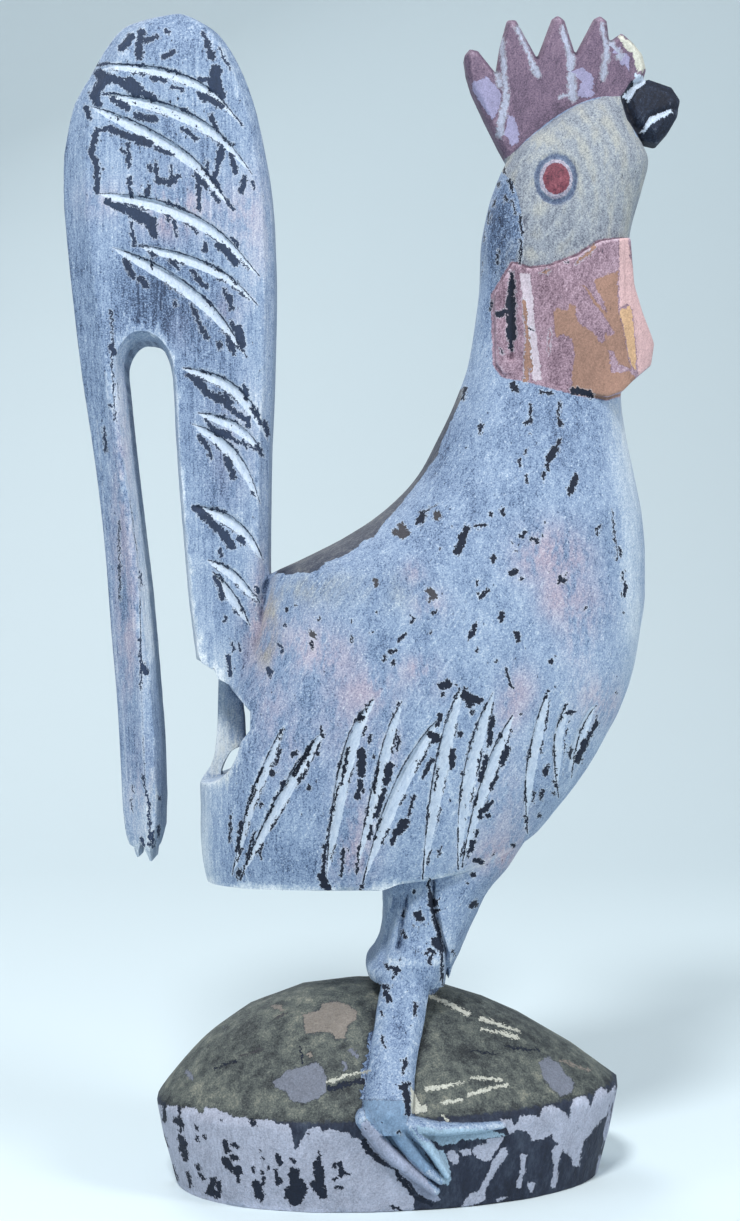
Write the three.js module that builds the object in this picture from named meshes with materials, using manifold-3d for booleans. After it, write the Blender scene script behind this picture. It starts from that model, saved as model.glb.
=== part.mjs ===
import * as THREE from "three";
import Module from "manifold-3d";
import { mergeVertices } from "three/addons/utils/BufferGeometryUtils.js";

const wasm = await Module();
wasm.setup();

// Carved wooden rooster on a low mound, cut from one block.
// Millimetres. +X is the way the bird faces, +Y its left side, +Z up, z = 0 the underside.
// Lengths along X are read from a line 0.8 mm behind the middle of the finished outline.

// ---- driving dimensions -------------------------------------------------------------
const BASE = {
  centre: [7.6, 0],        // plan centre of the mound
  turn: 10,                // degrees the mound is turned under the bird
  bottomHalf: [84.5, 53],  // half length and half width of the underside
  rimHalf: [92.6, 58.5],     // half length and half width at the rim
  rimZ: 34,                // height of the side wall
  rimTilt: 1.6,            // how much higher the rim is at the front end
  rise: 42.5,              // height of the dome above the rim
  squareness: 2.15,
  domePower: 2.4,          // roundness of the dome, varied round the plan
  domeSkew: 0.65,
};
const RING = 24;           // corners round each cross-section of body and neck
const TAIL = { half: 17, leftEdge: 6, rightEdge: 11, leftBevel: 11, rightBevel: 4, crown: 0.8 };
const SLOT_CHAMFER = 2.4;
const COMB = { half: 8, bevel: 3.5, inset: 1.6 };
const BEAK = { half: 9, bevel: 4 };
const EYE = { x: 72.4, z: 391.8, ring: 7.4, tube: 1.5, boss: 5.2, tall: 1.22, lift: 1.6 };
const SHANK_DEPTH = 17;
const TOE = { proud: 5, sunk: 4 };
const GOUGE_SLOPE = 0.5;   // depth of a gouge over its width

// Edge lines of the bird seen from its side: [z, x].
const BACK = [
  [117.5, -64.6], [127.9, -66.6], [143, -67.4], [155, -67.6], [166, -66.5], [180, -62], [195, -55],
  [210, -48], [228, -43.2], [237.5, -40],
  [243.9, -28], [253.1, -10], [263.9, 6], [277.9, 19.2], [291.9, 26.8], [307.1, 34], [322.6, 39.4],
  [338.2, 42], [353.4, 43.8], [368.6, 44.4], [384.2, 47.2], [395, 50.8], [404.2, 55.5], [415, 66.4],
  [422.6, 76.8], [428, 88],
];
const FRONT = [
  [112.3, 47.5], [120, 53], [130.7, 62], [144.7, 72.8], [158.3, 83.6], [178.3, 96], [188.7, 101.1],
  [201.5, 105.5], [215.5, 107.9], [230.7, 109.9], [245.9, 109.9], [261.5, 108.7], [278.3, 105.5],
  [295.9, 101.9], [309.9, 100.3], [340, 101.5], [372.2, 103.5], [391.4, 108.3], [403, 111],
  [411.8, 107.5], [420.2, 103.5], [428, 101],
];
// Half width of body, neck and head: [z, half width], and the squareness of the section.
const WIDTH = [
  [112.3, 38.5], [130, 43], [155, 46.5], [190, 48], [228, 46], [254, 41], [278, 35.5], [292, 32],
  [307, 28.5], [323, 26], [338, 24.5], [353, 23.5], [369, 22.8], [384, 22], [395, 21.3], [404, 20],
  [415, 17], [422, 13], [428, 8],
];
const SQUARE = [[112.3, 2.9], [160, 2.7], [230, 2.4], [300, 2.3], [428, 2.4]];
const STATIONS = [
  117.5, 128, 139, 150, 161, 172, 183, 195, 207, 219, 230, 237.5, 244, 252, 260, 269, 279, 290, 302, 315,
  330, 345, 359, 372, 384, 395, 404, 410.5, 416, 421, 425, 428,
];

// Thigh and belly under the wing: [z, back, front, half width].
const THIGH = [
  [78.5, 3.5, 31.5, 33], [80.5, -0.8, 32, 35], [84, -1.6, 32.8, 36.2], [88.6, 1.5, 34.8, 36],
  [95, 4, 37.6, 34.6], [103, 5, 41.2, 34], [113, 5, 46, 34.4], [124, 4, 55, 35], [140, 6, 66, 34],
  [152, 10, 72, 30],
];
const KEEL = [[58, 8, 27, 17], [72, 7, 27.5, 18], [86, 8, 28, 19]];
const SHANK = [[83, 4.8, 23.3, 36], [68.1, 2.3, 20.6, 43.5], [59.1, 0.7, 18.6, 50], [49.7, -0.7, 17, 56.5],
  [39, -1.8, 15.8, 63.5], [31, -1, 15, 64.5]];
// Lower edge of the wing, rising forward: [x, z].
const WING_EDGE = [[5, 117.5], [11, 119.9], [23, 121.4], [36, 124], [46, 128.4], [56, 132], [66, 137.5], [80, 150]];
// Damaged hollow in the rump below the broken end of the tail: [x, z].
const NOTCH = [
  [-85, 156.5], [-65.5, 156.5], [-58, 158.4], [-55.3, 161.2], [-53.3, 163.5], [-50.6, 169], [-49.4, 173.7],
  [-45.9, 178], [-45.9, 185.1], [-51.2, 190.4], [-55.1, 194.8], [-59.4, 197], [-60.6, 200], [-64.6, 202.6],
  [-85, 203.4],
];

// Tail blade outline: [z, x].
const TAIL_LEFT = [
  [125, -91.8], [131.7, -96.1], [145.2, -98.1], [160.6, -98.9], [186.3, -100.3], [214.8, -102.7],
  [249.6, -105.4], [272.6, -107.9], [293.5, -110.8], [317.7, -114.5], [342.6, -117.5], [359.2, -119.3],
  [374.3, -120.7], [389.7, -121.7], [400.8, -121.7], [413.8, -119.9], [425.3, -117.1], [434.8, -111.6],
  [445.5, -105.6], [455.4, -98.1], [459.7, -88.2], [461.3, -79.5],
];
const TAIL_RIGHT = [
  [125, -40], [240.5, -40], [282.1, -39.6], [312.5, -38.4], [350.5, -37.6], [378.2, -38.4], [395.6, -40],
  [406.3, -41.9], [419.8, -44.7], [432, -48.7], [443.5, -54.2], [451.8, -60.1], [457.7, -67.7], [461.3, -74.5],
];
const TAIL_STATIONS = [125, 128, 132, 139, 152, 172, 200, 230, 262, 294, 318, 343, 367, 390, 401, 413.8,
  425.3, 434.8, 442, 449, 455.4, 459.7, 461.3];
// Slot between the hanging feather and the rest of the tail, then the broken lower end: [x, z, chamfer].
const SLOT = [
  [-85.1, 110, 1], [-85.1, 126.6, 1], [-82.2, 138, 1], [-81.8, 150, 1], [-82.7, 175.6, 1], [-85.1, 205.7, 1],
  [-87.4, 232, 1], [-90.3, 256, 1], [-93.6, 283.6, 1], [-96.2, 308.6, 1], [-97.2, 320, 1], [-94.6, 327.4, 1],
  [-90, 330.6, 1], [-85.2, 330, 1], [-80.8, 325.6, 1], [-78, 316, 1], [-76.8, 293.5, 1],
  [-75.6, 274.5, 1], [-74, 255.6, 1], [-71.6, 227.9, 1], [-68.6, 204.6, 0.4], [-64.6, 202.6, 0],
  [-60.6, 200, 0], [-59.4, 197, 0], [-55.1, 194.8, 0], [-51.2, 190.4, 0], [-30, 186, 0], [-30, 110, 0],
];
// Strip left standing behind the broken end: [z, back, front].
const STRUT = [[203, -60.5, -49], [188, -60.8, -51.2], [179, -61, -50.4], [171, -61.6, -50.2],
  [167.5, -62, -55.6], [162, -63.7, -58.8], [156.5, -67, -60.5], [150, -67, -62]];
const STRUT_Y = [-1, 11];

// Comb, beak and wattle outlines: [x, z].
const COMB_LINE = [
  [56, 400], [51.2, 408.6], [45.6, 419.8], [40.4, 431], [38.3, 438], [37.4, 444.5], [39.6, 447.2],
  [43, 446.4], [50, 437.6], [51.8, 449], [54.4, 458.6], [58, 458.8], [66.4, 443.6], [72.2, 459], [74.6, 460.6],
  [77.4, 458.6], [81.6, 445.2], [88.8, 459], [91.4, 460.4], [94.2, 458.4], [95.2, 450.2], [100, 453.6],
  [104.4, 449.8], [108.3, 445], [109.8, 439], [108.6, 434.4], [104.3, 431.6], [100.5, 420], [82, 412],
];
const BEAK_LINE = [
  [110.7, 435], [119.9, 431.8], [123.3, 426.6], [122.2, 420.2], [119.1, 414.8], [114.3, 409.4],
  [107.5, 411], [102, 418], [100, 427], [103.9, 432.8],
];
const MOUTH = [[124, 424], [111, 419.6], [107.5, 415]];
const WATTLE_LINE = [
  [101.9, 369.8], [103.5, 351.4], [107.5, 340], [112.6, 329.4], [111, 320.7], [103.5, 314.4],
  [98.4, 309.3], [92.1, 306.6], [80.3, 307.7], [63, 312.5], [51.6, 315.2], [48.8, 319.9], [48.4, 347.5],
  [55.5, 358.9], [62, 356.3], [69.7, 357.3], [80.3, 361.3], [89.3, 367.2],
];
const WATTLE = [[300, 30, 113, 27.5], [330, 30, 115, 27.3], [350, 34, 111, 26.4], [376, 34, 110, 25.4]];

// Toes: centre line [x, z] on the mound's side wall, half width at the start and at the tip.
const TOES = [
  { line: [[-2, 36.5], [5.5, 25.3], [15.4, 15.7], [24.3, 7.6]], w: [3.4, 1.7] },
  { line: [[7.4, 38], [12.9, 27.1], [19.9, 17.6], [26.5, 11.5]], w: [3.6, 1.5] },
  { line: [[13.5, 35], [22.1, 24.6], [28.7, 13.5]], w: [2.6, 1.3] },
  { line: [[12.5, 34.6], [25.7, 31.9], [38.6, 31.2], [49.6, 31.4]], w: [3, 1.5] },
];

// Gouges: centre line [x, z] and greatest width. The tail's are crescents, the wing's long feathers.
const TAIL_GOUGES = [
  [[-106.9, 437.3], [-84.2, 434.9], [-65.4, 428.3], [-49.7, 413.4], 3.2],
  [[-104.1, 425.9], [-78, 419.5], [-60, 409.5], [-46.2, 394.6], 4],
  [[-109.2, 420.8], [-90, 412], [-70, 399.5], [-53.6, 380.5], 4.2],
  [[-106.1, 386.8], [-83, 382.3], [-62, 372.5], [-43.1, 354.3], 4.4],
  [[-90.4, 366.4], [-73.2, 361.7], [-57.9, 355.1], [-43.9, 343.3], 3.6],
  [[-100.6, 365.6], [-80, 355], [-62, 341], [-48.2, 323], 4.4],
  [[-73.2, 318.6], [-57.9, 313.2], [-47, 303.4], [-39.9, 290.1], 3.8],
  [[-67.3, 301], [-54.4, 296.7], [-46.2, 290.1], [-41.5, 283.8], 3.2],
  [[-69.3, 296.7], [-57.9, 289.3], [-49.7, 279.5], [-43.1, 265.8], 4],
  [[-69.7, 264.6], [-57.9, 260.7], [-47.8, 252.5], [-41.5, 242.7], 4],
  [[-63.4, 243.5], [-54.4, 238.4], [-47, 230.6], [-43.1, 227], 3.2],
  [[-61.5, 238.8], [-54.4, 229.4], [-47, 218], 3.4],
];
const WING_GOUGES = [
  [[-32.5, 180], [-37.8, 167.6], [-44.2, 152.4], [-51.8, 124.5], 3],
  [[-17.4, 178.5], [-26, 165], [-36, 148], [-48.8, 122.9], 4.2],
  [[1.5, 190.2], [-4.5, 180], [-10.5, 160], [-16.3, 123.7], 5],
  [[12.1, 189.5], [7.9, 177.8], [1.5, 153], [-5.3, 125.6], 4],
  [[26.1, 183.4], [16, 167], [7, 148], [-2.6, 121.4], 5],
  [[34, 194.4], [29.1, 176.3], [24, 150], [20, 122.9], 5],
  [[46.5, 192.9], [40.8, 176.3], [35.5, 152], [33.3, 126.4], 4.6],
  [[53.7, 184.2], [47.3, 169.1], [40.5, 149], [34.8, 127.1], 4.2],
  [[67.3, 193.7], [63.1, 176.3], [60.1, 158.5], [59.4, 140], 4],
  [[74.5, 188.7], [71.1, 172.9], [71.1, 153.5], 4],
  [[85.5, 188], [80.5, 176.3], [76, 161], 4],
];

// ---- helpers ------------------------------------------------------------------------
// Smooth reading of a table of [key, value] rows that never overshoots its rows.
function read(rows, key, col = 1) {
  const n = rows.length;
  if (key <= rows[0][0]) return rows[0][col];
  if (key >= rows[n - 1][0]) return rows[n - 1][col];
  let i = 0;
  while (rows[i + 1][0] < key) i++;
  const slope = (k) => (rows[k + 1][col] - rows[k][col]) / (rows[k + 1][0] - rows[k][0]);
  const tangent = (k) => {
    if (k <= 0) return slope(0);
    if (k >= n - 1) return slope(n - 2);
    const a = slope(k - 1), b = slope(k);
    return a * b <= 0 ? 0 : (2 * a * b) / (a + b);
  };
  const h = rows[i + 1][0] - rows[i][0], t = (key - rows[i][0]) / h;
  const t2 = t * t, t3 = t2 * t;
  return (2 * t3 - 3 * t2 + 1) * rows[i][col] + (t3 - 2 * t2 + t) * h * tangent(i)
    + (3 * t2 - 2 * t3) * rows[i + 1][col] + (t3 - t2) * h * tangent(i + 1);
}

// Closed body through rings of equal corner count; flat ends.
function loft(rings, flat = null) {
  const n = rings[0].length, pos = [], idx = [];
  for (const ring of rings) for (const p of ring) pos.push(...p);
  for (let r = 0; r + 1 < rings.length; r++)
    for (let k = 0; k < n; k++) {
      const a = r * n + k, b = r * n + (k + 1) % n;
      idx.push(a, b, b + n, a, b + n, a + n);
    }
  const cap = (flat ?? (() => rings[0].map((p) => new THREE.Vector2(p[0], p[1]))))();
  const last = (rings.length - 1) * n;
  const turn = Math.sign(THREE.ShapeUtils.area(cap));
  for (const face of THREE.ShapeUtils.triangulateShape(cap, [])) {
    const same = Math.sign(THREE.ShapeUtils.area(face.map((v) => cap[v]))) === turn;
    const [i, j, k] = same ? face : [face[0], face[2], face[1]];
    idx.push(i, k, j);
    idx.push(last + i, last + j, last + k);
  }
  const g = new THREE.BufferGeometry();
  g.setAttribute("position", new THREE.Float32BufferAttribute(pos, 3));
  g.setIndex(idx);
  return g;
}

// Joined form of a closed geometry, its faces turned outwards.
function solid(geometry) {
  let g = geometry.clone();
  g.deleteAttribute("normal");
  g.deleteAttribute("uv");
  g = mergeVertices(g, 1e-4);
  const p = g.getAttribute("position"), index = [...g.getIndex().array];
  const a = new THREE.Vector3(), b = new THREE.Vector3(), c = new THREE.Vector3();
  let volume = 0;
  for (let i = 0; i < index.length; i += 3) {
    a.fromBufferAttribute(p, index[i]);
    b.fromBufferAttribute(p, index[i + 1]);
    c.fromBufferAttribute(p, index[i + 2]);
    volume += a.dot(b.cross(c));
  }
  if (volume < 0) for (let i = 0; i < index.length; i += 3) [index[i], index[i + 1]] = [index[i + 1], index[i]];
  return new wasm.Manifold(new wasm.Mesh({
    numProp: 3, vertProperties: new Float32Array(p.array), triVerts: new Uint32Array(index),
  }));
}

const outline = (points) => new THREE.Shape(points.map(([x, z]) => new THREE.Vector2(x, z)));

// Plate standing in the bird's middle plane, chamfered all round.
function plate(points, half, bevel, inset = bevel) {
  const g = new THREE.ExtrudeGeometry(outline(points), {
    depth: 2 * (half - bevel), bevelEnabled: bevel > 0, bevelSegments: 1,
    bevelThickness: bevel, bevelSize: inset, bevelOffset: -inset, steps: 1,
  });
  g.rotateX(Math.PI / 2);
  g.translate(0, half - bevel, 0);
  return solid(g);
}

// Rounded-square cross-section at height z between two edge positions.
function section(z, back, front, half, power, count = RING) {
  const xc = (back + front) / 2, a = (front - back) / 2, ring = [];
  for (let k = 0; k < count; k++) {
    const t = (2 * Math.PI * (k + 0.5)) / count, c = Math.cos(t), s = Math.sin(t);
    ring.push([xc + a * Math.sign(c) * Math.abs(c) ** (2 / power),
      half * Math.sign(s) * Math.abs(s) ** (2 / power), z]);
  }
  return ring;
}

const bodyRing = (z) => section(z, read(BACK, z), read(FRONT, z), read(WIDTH, z), read(SQUARE, z));
function bodyHalf(x, z) {
  const b = read(BACK, z), f = read(FRONT, z), n = read(SQUARE, z);
  const s = Math.min(0.999, Math.abs((2 * x - b - f) / (f - b)));
  return read(WIDTH, z) * (1 - s ** n) ** (1 / n);
}

function tailRow(z) {
  const l = read(TAIL_LEFT, z), r = read(TAIL_RIGHT, z), w = r - l;
  const drop = Math.max(0, (z - 438) / 25);
  const k = Math.sqrt(1 - Math.min(0.9, drop * drop));
  return { l, r, b1: Math.min(TAIL.leftBevel, 0.3 * w), b2: Math.min(TAIL.rightBevel, 0.2 * w),
    h: TAIL.half * k, e1: TAIL.leftEdge * k, e2: TAIL.rightEdge * k };
}
function tailRing(z) {
  const t = tailRow(z), m = (t.l + t.r) / 2;
  const side = [[t.l, t.e1], [t.l + t.b1, t.h], [m, t.h + TAIL.crown], [t.r - t.b2, t.h], [t.r, t.e2]];
  return [...side.map(([x, y]) => [x, -y, z]), ...side.reverse().map(([x, y]) => [x, y, z])];
}
function tailHalf(x, z) {
  const t = tailRow(z);
  const inL = Math.min(1, Math.max(0, (x - t.l) / t.b1)), inR = Math.min(1, Math.max(0, (t.r - x) / t.b2));
  return Math.min(t.e1 + (t.h - t.e1) * inL, t.e2 + (t.h - t.e2) * inR) + (inL >= 1 && inR >= 1 ? TAIL.crown * 0.6 : 0);
}

// V-shaped cut along a line on the surface half(x, z), on the side given by sign.
function gouge(line, width, half, sign, lean, steps = 4) {
  const curve = new THREE.CatmullRomCurve3(line.map(([x, z]) => new THREE.Vector3(x, 0, z)), false, "centripetal");
  const rings = [];
  for (let i = 0; i <= steps; i++) {
    const u = i / steps, c = curve.getPoint(u), t = curve.getTangent(u);
    const n = new THREE.Vector3(t.z, 0, -t.x).normalize();
    const w = width * Math.max(0.12, Math.sin(Math.PI * u ** 0.75) ** 0.8), depth = GOUGE_SLOPE * w, lip = 1.5;
    const open = (w / 2) * (depth + lip) / depth;
    const at = (side, y) => {
      const x = c.x + n.x * side, z = c.z + n.z * side;
      return [x, sign * (half(x, z) + y), z];
    };
    const floor = [c.x + n.x * lean * w, sign * (half(c.x, c.z) - depth), c.z + n.z * lean * w];
    rings.push([at(-open, lip), at(open, lip), floor]);
  }
  return solid(loft(rings, () => [new THREE.Vector2(0, 0), new THREE.Vector2(1, 0), new THREE.Vector2(0, 1)]));
}

// ---- mound --------------------------------------------------------------------------
function basePoint(angle, a, b, shrink = 1) {
  const c = Math.cos(angle), s = Math.sin(angle), n = BASE.squareness;
  const u = shrink * a * Math.sign(c) * Math.abs(c) ** (2 / n);
  const v = shrink * b * Math.sign(s) * Math.abs(s) ** (2 / n);
  const th = THREE.MathUtils.degToRad(BASE.turn);
  return [BASE.centre[0] + u * Math.cos(th) - v * Math.sin(th), BASE.centre[1] + u * Math.sin(th) + v * Math.cos(th)];
}
function base() {
  const count = 36, rings = [], mix = THREE.MathUtils.lerp;
  const ring = (level, shrink, z) => Array.from({ length: count }, (_, k) => {
    const t = (2 * Math.PI * k) / count;
    const [x, y] = basePoint(t, mix(BASE.bottomHalf[0], BASE.rimHalf[0], level),
      mix(BASE.bottomHalf[1], BASE.rimHalf[1], level), shrink);
    return [x, y, z(t)];
  });
  rings.push(ring(0, 1, () => 0));
  const rim = (t) => BASE.rimZ + BASE.rimTilt * Math.cos(t);
  const top = BASE.rimZ + BASE.rise;
  rings.push(ring(0.6, 1, () => BASE.rimZ * 0.5));
  rings.push(ring(1, 1, rim));
  for (const u of [0.95, 0.86, 0.74, 0.6, 0.44, 0.26, 0.08])
    rings.push(ring(1, u, (t) => mix(top, rim(t), u ** (BASE.domePower - BASE.domeSkew * Math.cos(t)))));
  return solid(loft(rings));
}
// Outer face of the side wall at x and height z, on the near (-1) or far (+1) side.
function wallY(x, z, sign) {
  const k = Math.min(1, Math.max(0, z / BASE.rimZ));
  const a = THREE.MathUtils.lerp(BASE.bottomHalf[0], BASE.rimHalf[0], k);
  const b = THREE.MathUtils.lerp(BASE.bottomHalf[1], BASE.rimHalf[1], k);
  let best = [1e9, 0];
  for (let i = 1; i < 180; i++) {
    const [px, py] = basePoint(sign * (Math.PI * i) / 180, a, b);
    const gap = Math.abs(px - x);
    if (gap < best[0]) best = [gap, py];
  }
  return best[1];
}

// ---- legs and feet ------------------------------------------------------------------
function shank(sign) {
  return solid(loft(SHANK.map(([z, l, r, out]) => {
    const y = (d) => sign * (out - d);
    return [[l, y(SHANK_DEPTH), z], [l, y(4), z], [l + 4.5, y(0), z], [r - 4, y(0), z], [r, y(5), z], [r, y(SHANK_DEPTH), z]];
  })));
}
function toe({ line, w }, sign) {
  const points = line.map(([x, z]) => new THREE.Vector3(x, wallY(x, z, sign), z));
  const curve = new THREE.CatmullRomCurve3(points, false, "centripetal");
  const rings = [], steps = 4;
  for (let i = 0; i <= steps; i++) {
    const u = i / steps, c = curve.getPoint(u), t = curve.getTangent(u);
    const out = new THREE.Vector3(0, sign, 0);
    out.addScaledVector(t, -out.dot(t)).normalize();
    const across = new THREE.Vector3().crossVectors(t, out);
    const half = THREE.MathUtils.lerp(w[0], w[1], u), up = TOE.proud * (1 - 0.45 * u);
    rings.push([[-1, -TOE.sunk], [-1, up * 0.55], [-0.4, up], [0.4, up], [1, up * 0.55], [1, -TOE.sunk]].map(([a, b]) => {
      const p = c.clone().addScaledVector(across, a * half).addScaledVector(out, b);
      return [p.x, p.y, p.z];
    }));
  }
  const hex = () => [[-1, -1], [-1, 0.5], [-0.4, 1], [0.4, 1], [1, 0.5], [1, -1]].map(([a, b]) => new THREE.Vector2(a, b));
  return solid(loft(rings, hex));
}

// ---- tail ---------------------------------------------------------------------------
function tail() {
  const blade = solid(loft(TAIL_STATIONS.map(tailRing)));
  const n = SLOT.length;
  const shifted = (amount) => SLOT.map(([x, z, c], k) => {
    const [x0, z0] = SLOT[(k + n - 1) % n], [x1, z1] = SLOT[(k + 1) % n];
    const d = Math.hypot(x1 - x0, z1 - z0);
    return [x - (amount * c * (z1 - z0)) / d, z + (amount * c * (x1 - x0)) / d];
  });
  const rings = [[-22, SLOT_CHAMFER * 1.4], [-9, 0], [9, 0], [22, SLOT_CHAMFER * 1.4]]
    .map(([y, amount]) => shifted(amount).map(([x, z]) => [x, y, z]));
  const cutter = solid(loft(rings, () => SLOT.map(([x, z]) => new THREE.Vector2(x, z))));
  return blade.subtract(cutter);
}
function strut() {
  const [y0, y1] = STRUT_Y;
  return solid(loft(STRUT.map(([z, l, r]) => [[l, y0, z], [r, y0, z], [r, y1, z], [l, y1, z]])));
}

// ---- body, neck, head ---------------------------------------------------------------
function body() {
  const trunk = solid(loft(STATIONS.map(bodyRing)));
  const under = [...WING_EDGE, [80, 100], [5, 100]];
  return trunk.subtract(plate(under, 70, 0)).subtract(plate(NOTCH, 60, 0));
}
function wattle() {
  const block = solid(loft(WATTLE.map(([z, b, f, h]) => section(z, b, f, h, 2.4))));
  return block.intersect(plate(WATTLE_LINE, 40, 0));
}
function eyeGroove(sign) {
  const g = new THREE.TorusGeometry(EYE.ring, EYE.tube, 4, 18);
  g.scale(1, EYE.tall, 1.1);
  g.rotateX(Math.PI / 2);
  g.translate(EYE.x, sign * (bodyHalf(EYE.x, EYE.z) + 0.4), EYE.z);
  return solid(g);
}
function eyeBoss(sign) {
  const g = new THREE.SphereGeometry(1, 14, 6);
  g.rotateX(Math.PI / 2);
  g.scale(EYE.boss, EYE.lift + 2, EYE.boss * EYE.tall);
  g.translate(EYE.x, sign * (bodyHalf(EYE.x, EYE.z) - 2), EYE.z);
  return solid(g);
}

// ---- the carving as one solid -------------------------------------------------------
let form = body()
  .add(tail())
  .add(strut())
  .add(solid(loft(THIGH.map(([z, b, f, h]) => section(z, b, f, h, 3, 20)))))
  .add(solid(loft(KEEL.map(([z, b, f, h]) => section(z, b, f, h, 3, 16)))))
  .add(plate(COMB_LINE, COMB.half, COMB.bevel, COMB.inset))
  .add(plate(BEAK_LINE, BEAK.half, BEAK.bevel))
  .add(wattle())
  .add(base());
for (const sign of [-1, 1]) {
  form = form.add(shank(sign));
  for (const t of TOES) form = form.add(toe(t, sign));
}
for (const sign of [-1, 1]) {
  for (const row of TAIL_GOUGES) form = form.subtract(gouge(row.slice(0, -1), row.at(-1), tailHalf, sign, -0.22));
  for (const row of WING_GOUGES) form = form.subtract(gouge(row.slice(0, -1), row.at(-1), bodyHalf, sign, 0.22));
  form = form.subtract(gouge(MOUTH, 2, () => BEAK.half, sign, 0, 3));
  form = form.subtract(eyeGroove(sign)).add(eyeBoss(sign));
}

function meshOf(manifold, name, colour) {
  const m = manifold.getMesh(), np = m.numProp, count = m.vertProperties.length / np;
  const pos = new Float32Array(count * 3);
  for (let i = 0; i < count; i++) for (let k = 0; k < 3; k++) pos[3 * i + k] = m.vertProperties[np * i + k];
  const g = new THREE.BufferGeometry();
  g.setAttribute("position", new THREE.BufferAttribute(pos, 3));
  g.setIndex([...m.triVerts]);
  // The origin is the middle of the outline at the underside.
  g.computeBoundingBox();
  const middle = g.boundingBox.getCenter(new THREE.Vector3());
  g.translate(-middle.x, -middle.y, -g.boundingBox.min.z);
  g.computeVertexNormals();
  const mesh = new THREE.Mesh(g, new THREE.MeshStandardMaterial({ color: colour, roughness: 0.75, metalness: 0, flatShading: true }));
  mesh.name = name;
  return mesh;
}

const rooster = new THREE.Group();
rooster.name = "rooster";
rooster.add(meshOf(form, "rooster_carving", 0x8c9bb0));
export default rooster;
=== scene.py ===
import math

import bpy
import numpy as np
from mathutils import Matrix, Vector


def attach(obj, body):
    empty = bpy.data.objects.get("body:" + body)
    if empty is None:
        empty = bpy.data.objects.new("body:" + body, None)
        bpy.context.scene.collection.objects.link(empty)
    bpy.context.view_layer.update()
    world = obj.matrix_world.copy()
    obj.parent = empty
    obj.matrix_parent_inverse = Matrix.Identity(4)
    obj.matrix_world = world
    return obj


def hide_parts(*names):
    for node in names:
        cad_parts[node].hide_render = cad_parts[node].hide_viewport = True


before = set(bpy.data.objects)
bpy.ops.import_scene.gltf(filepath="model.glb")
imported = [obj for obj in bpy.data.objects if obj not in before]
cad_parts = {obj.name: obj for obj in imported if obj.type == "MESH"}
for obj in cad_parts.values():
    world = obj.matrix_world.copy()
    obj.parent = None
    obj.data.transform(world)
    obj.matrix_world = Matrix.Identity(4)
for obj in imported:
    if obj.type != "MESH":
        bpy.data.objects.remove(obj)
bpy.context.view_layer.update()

# Carved wooden rooster on a low mound. The carving is worked out as one field of distances in
# millimetres, turned into one closed mesh, and finished with worn, flaking paint.
# x = the way the bird faces, y = its left side, z = up. Lengths along x are read from a line
# 0.8 mm behind the middle of the outline, as in the CAD part.
SHIFT_X = 0.8
STEP = 0.8          # spacing of the field
FACES = 196000    # triangles left in the finished mesh

# ---- driving dimensions ---------------------------------------------------------------
BASE = dict(cx=7.6, cy=0.0, turn=10.0, bottom=(84.5, 53.0), rim=(92.6, 58.5), rim_z=34.0,
            tilt=1.6, rise=42.5, square=2.15, power=2.4, skew=0.65)
TAIL = dict(half=17.0, left_edge=6.0, right_edge=11.0, left=11.0, right=4.0, crown=0.8)
COMB_HALF, COMB_EDGE, COMB_BEVEL = 8.0, 4.5, 2.0
BEAK_HALF, BEAK_BEVEL = 9.0, 4.0
EYE = dict(x=72.4, z=391.8, boss=5.2, groove=7.6, tall=1.22)
SHANK_DEPTH = 17.0
STRUT_Y = (-1.0, 11.0)

BACK = [
    (117.5, -64.6), (127.9, -66.6), (143, -67.4), (155, -67.6), (166, -66.5), (180, -62), (195, -55),
    (210, -48), (228, -43.2), (237.5, -40),
    (243.9, -28), (253.1, -10), (263.9, 6), (277.9, 19.2), (291.9, 26.8), (307.1, 34), (322.6, 39.4),
    (338.2, 42), (353.4, 43.8), (368.6, 44.4), (384.2, 47.2), (395, 50.8), (404.2, 55.5), (415, 66.4),
    (422.6, 76.8), (428, 88)]
FRONT = [
    (112.3, 47.5), (120, 53), (130.7, 62), (144.7, 72.8), (158.3, 83.6), (178.3, 96), (188.7, 101.1),
    (201.5, 105.5), (215.5, 107.9), (230.7, 109.9), (245.9, 109.9), (261.5, 108.7), (278.3, 105.5),
    (295.9, 101.9), (309.9, 100.3), (340, 101.5), (372.2, 103.5), (391.4, 108.3), (403, 111),
    (411.8, 107.5), (420.2, 103.5), (428, 101)]
WIDTH = [
    (112.3, 38.5), (130, 43), (155, 46.5), (190, 48), (228, 46), (254, 41), (278, 35.5), (292, 32),
    (307, 28.5), (323, 26), (338, 24.5), (353, 23.5), (369, 22.8), (384, 22), (395, 21.3), (404, 20),
    (415, 17), (422, 13), (428, 8)]
SQUARE = [(112.3, 2.9), (160, 2.7), (230, 2.4), (300, 2.3), (428, 2.4)]
THIGH = [   # z, back, front, half width
    (78.5, 3.5, 31.5, 33), (80.5, -0.8, 32, 35), (84, -1.6, 32.8, 36.2), (88.6, 1.5, 34.8, 36),
    (95, 4, 37.6, 34.6), (103, 5, 41.2, 34), (113, 5, 46, 34.4), (124, 4, 55, 35), (140, 6, 66, 34),
    (152, 10, 72, 30)]
KEEL = [(58, 8, 27, 17), (72, 7, 27.5, 18), (86, 8, 28, 19)]
SHANK = [   # z, back, front, outer face
    (31, -1, 15, 64.5), (39, -1.8, 15.8, 63.5), (49.7, -0.7, 17, 56.5), (59.1, 0.7, 18.6, 50),
    (68.1, 2.3, 20.6, 43.5), (83, 4.8, 23.3, 36)]
WING_EDGE = [(5, 117.5), (11, 119.9), (23, 121.4), (36, 124), (46, 128.4), (56, 132), (66, 137.5), (80, 150)]
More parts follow.
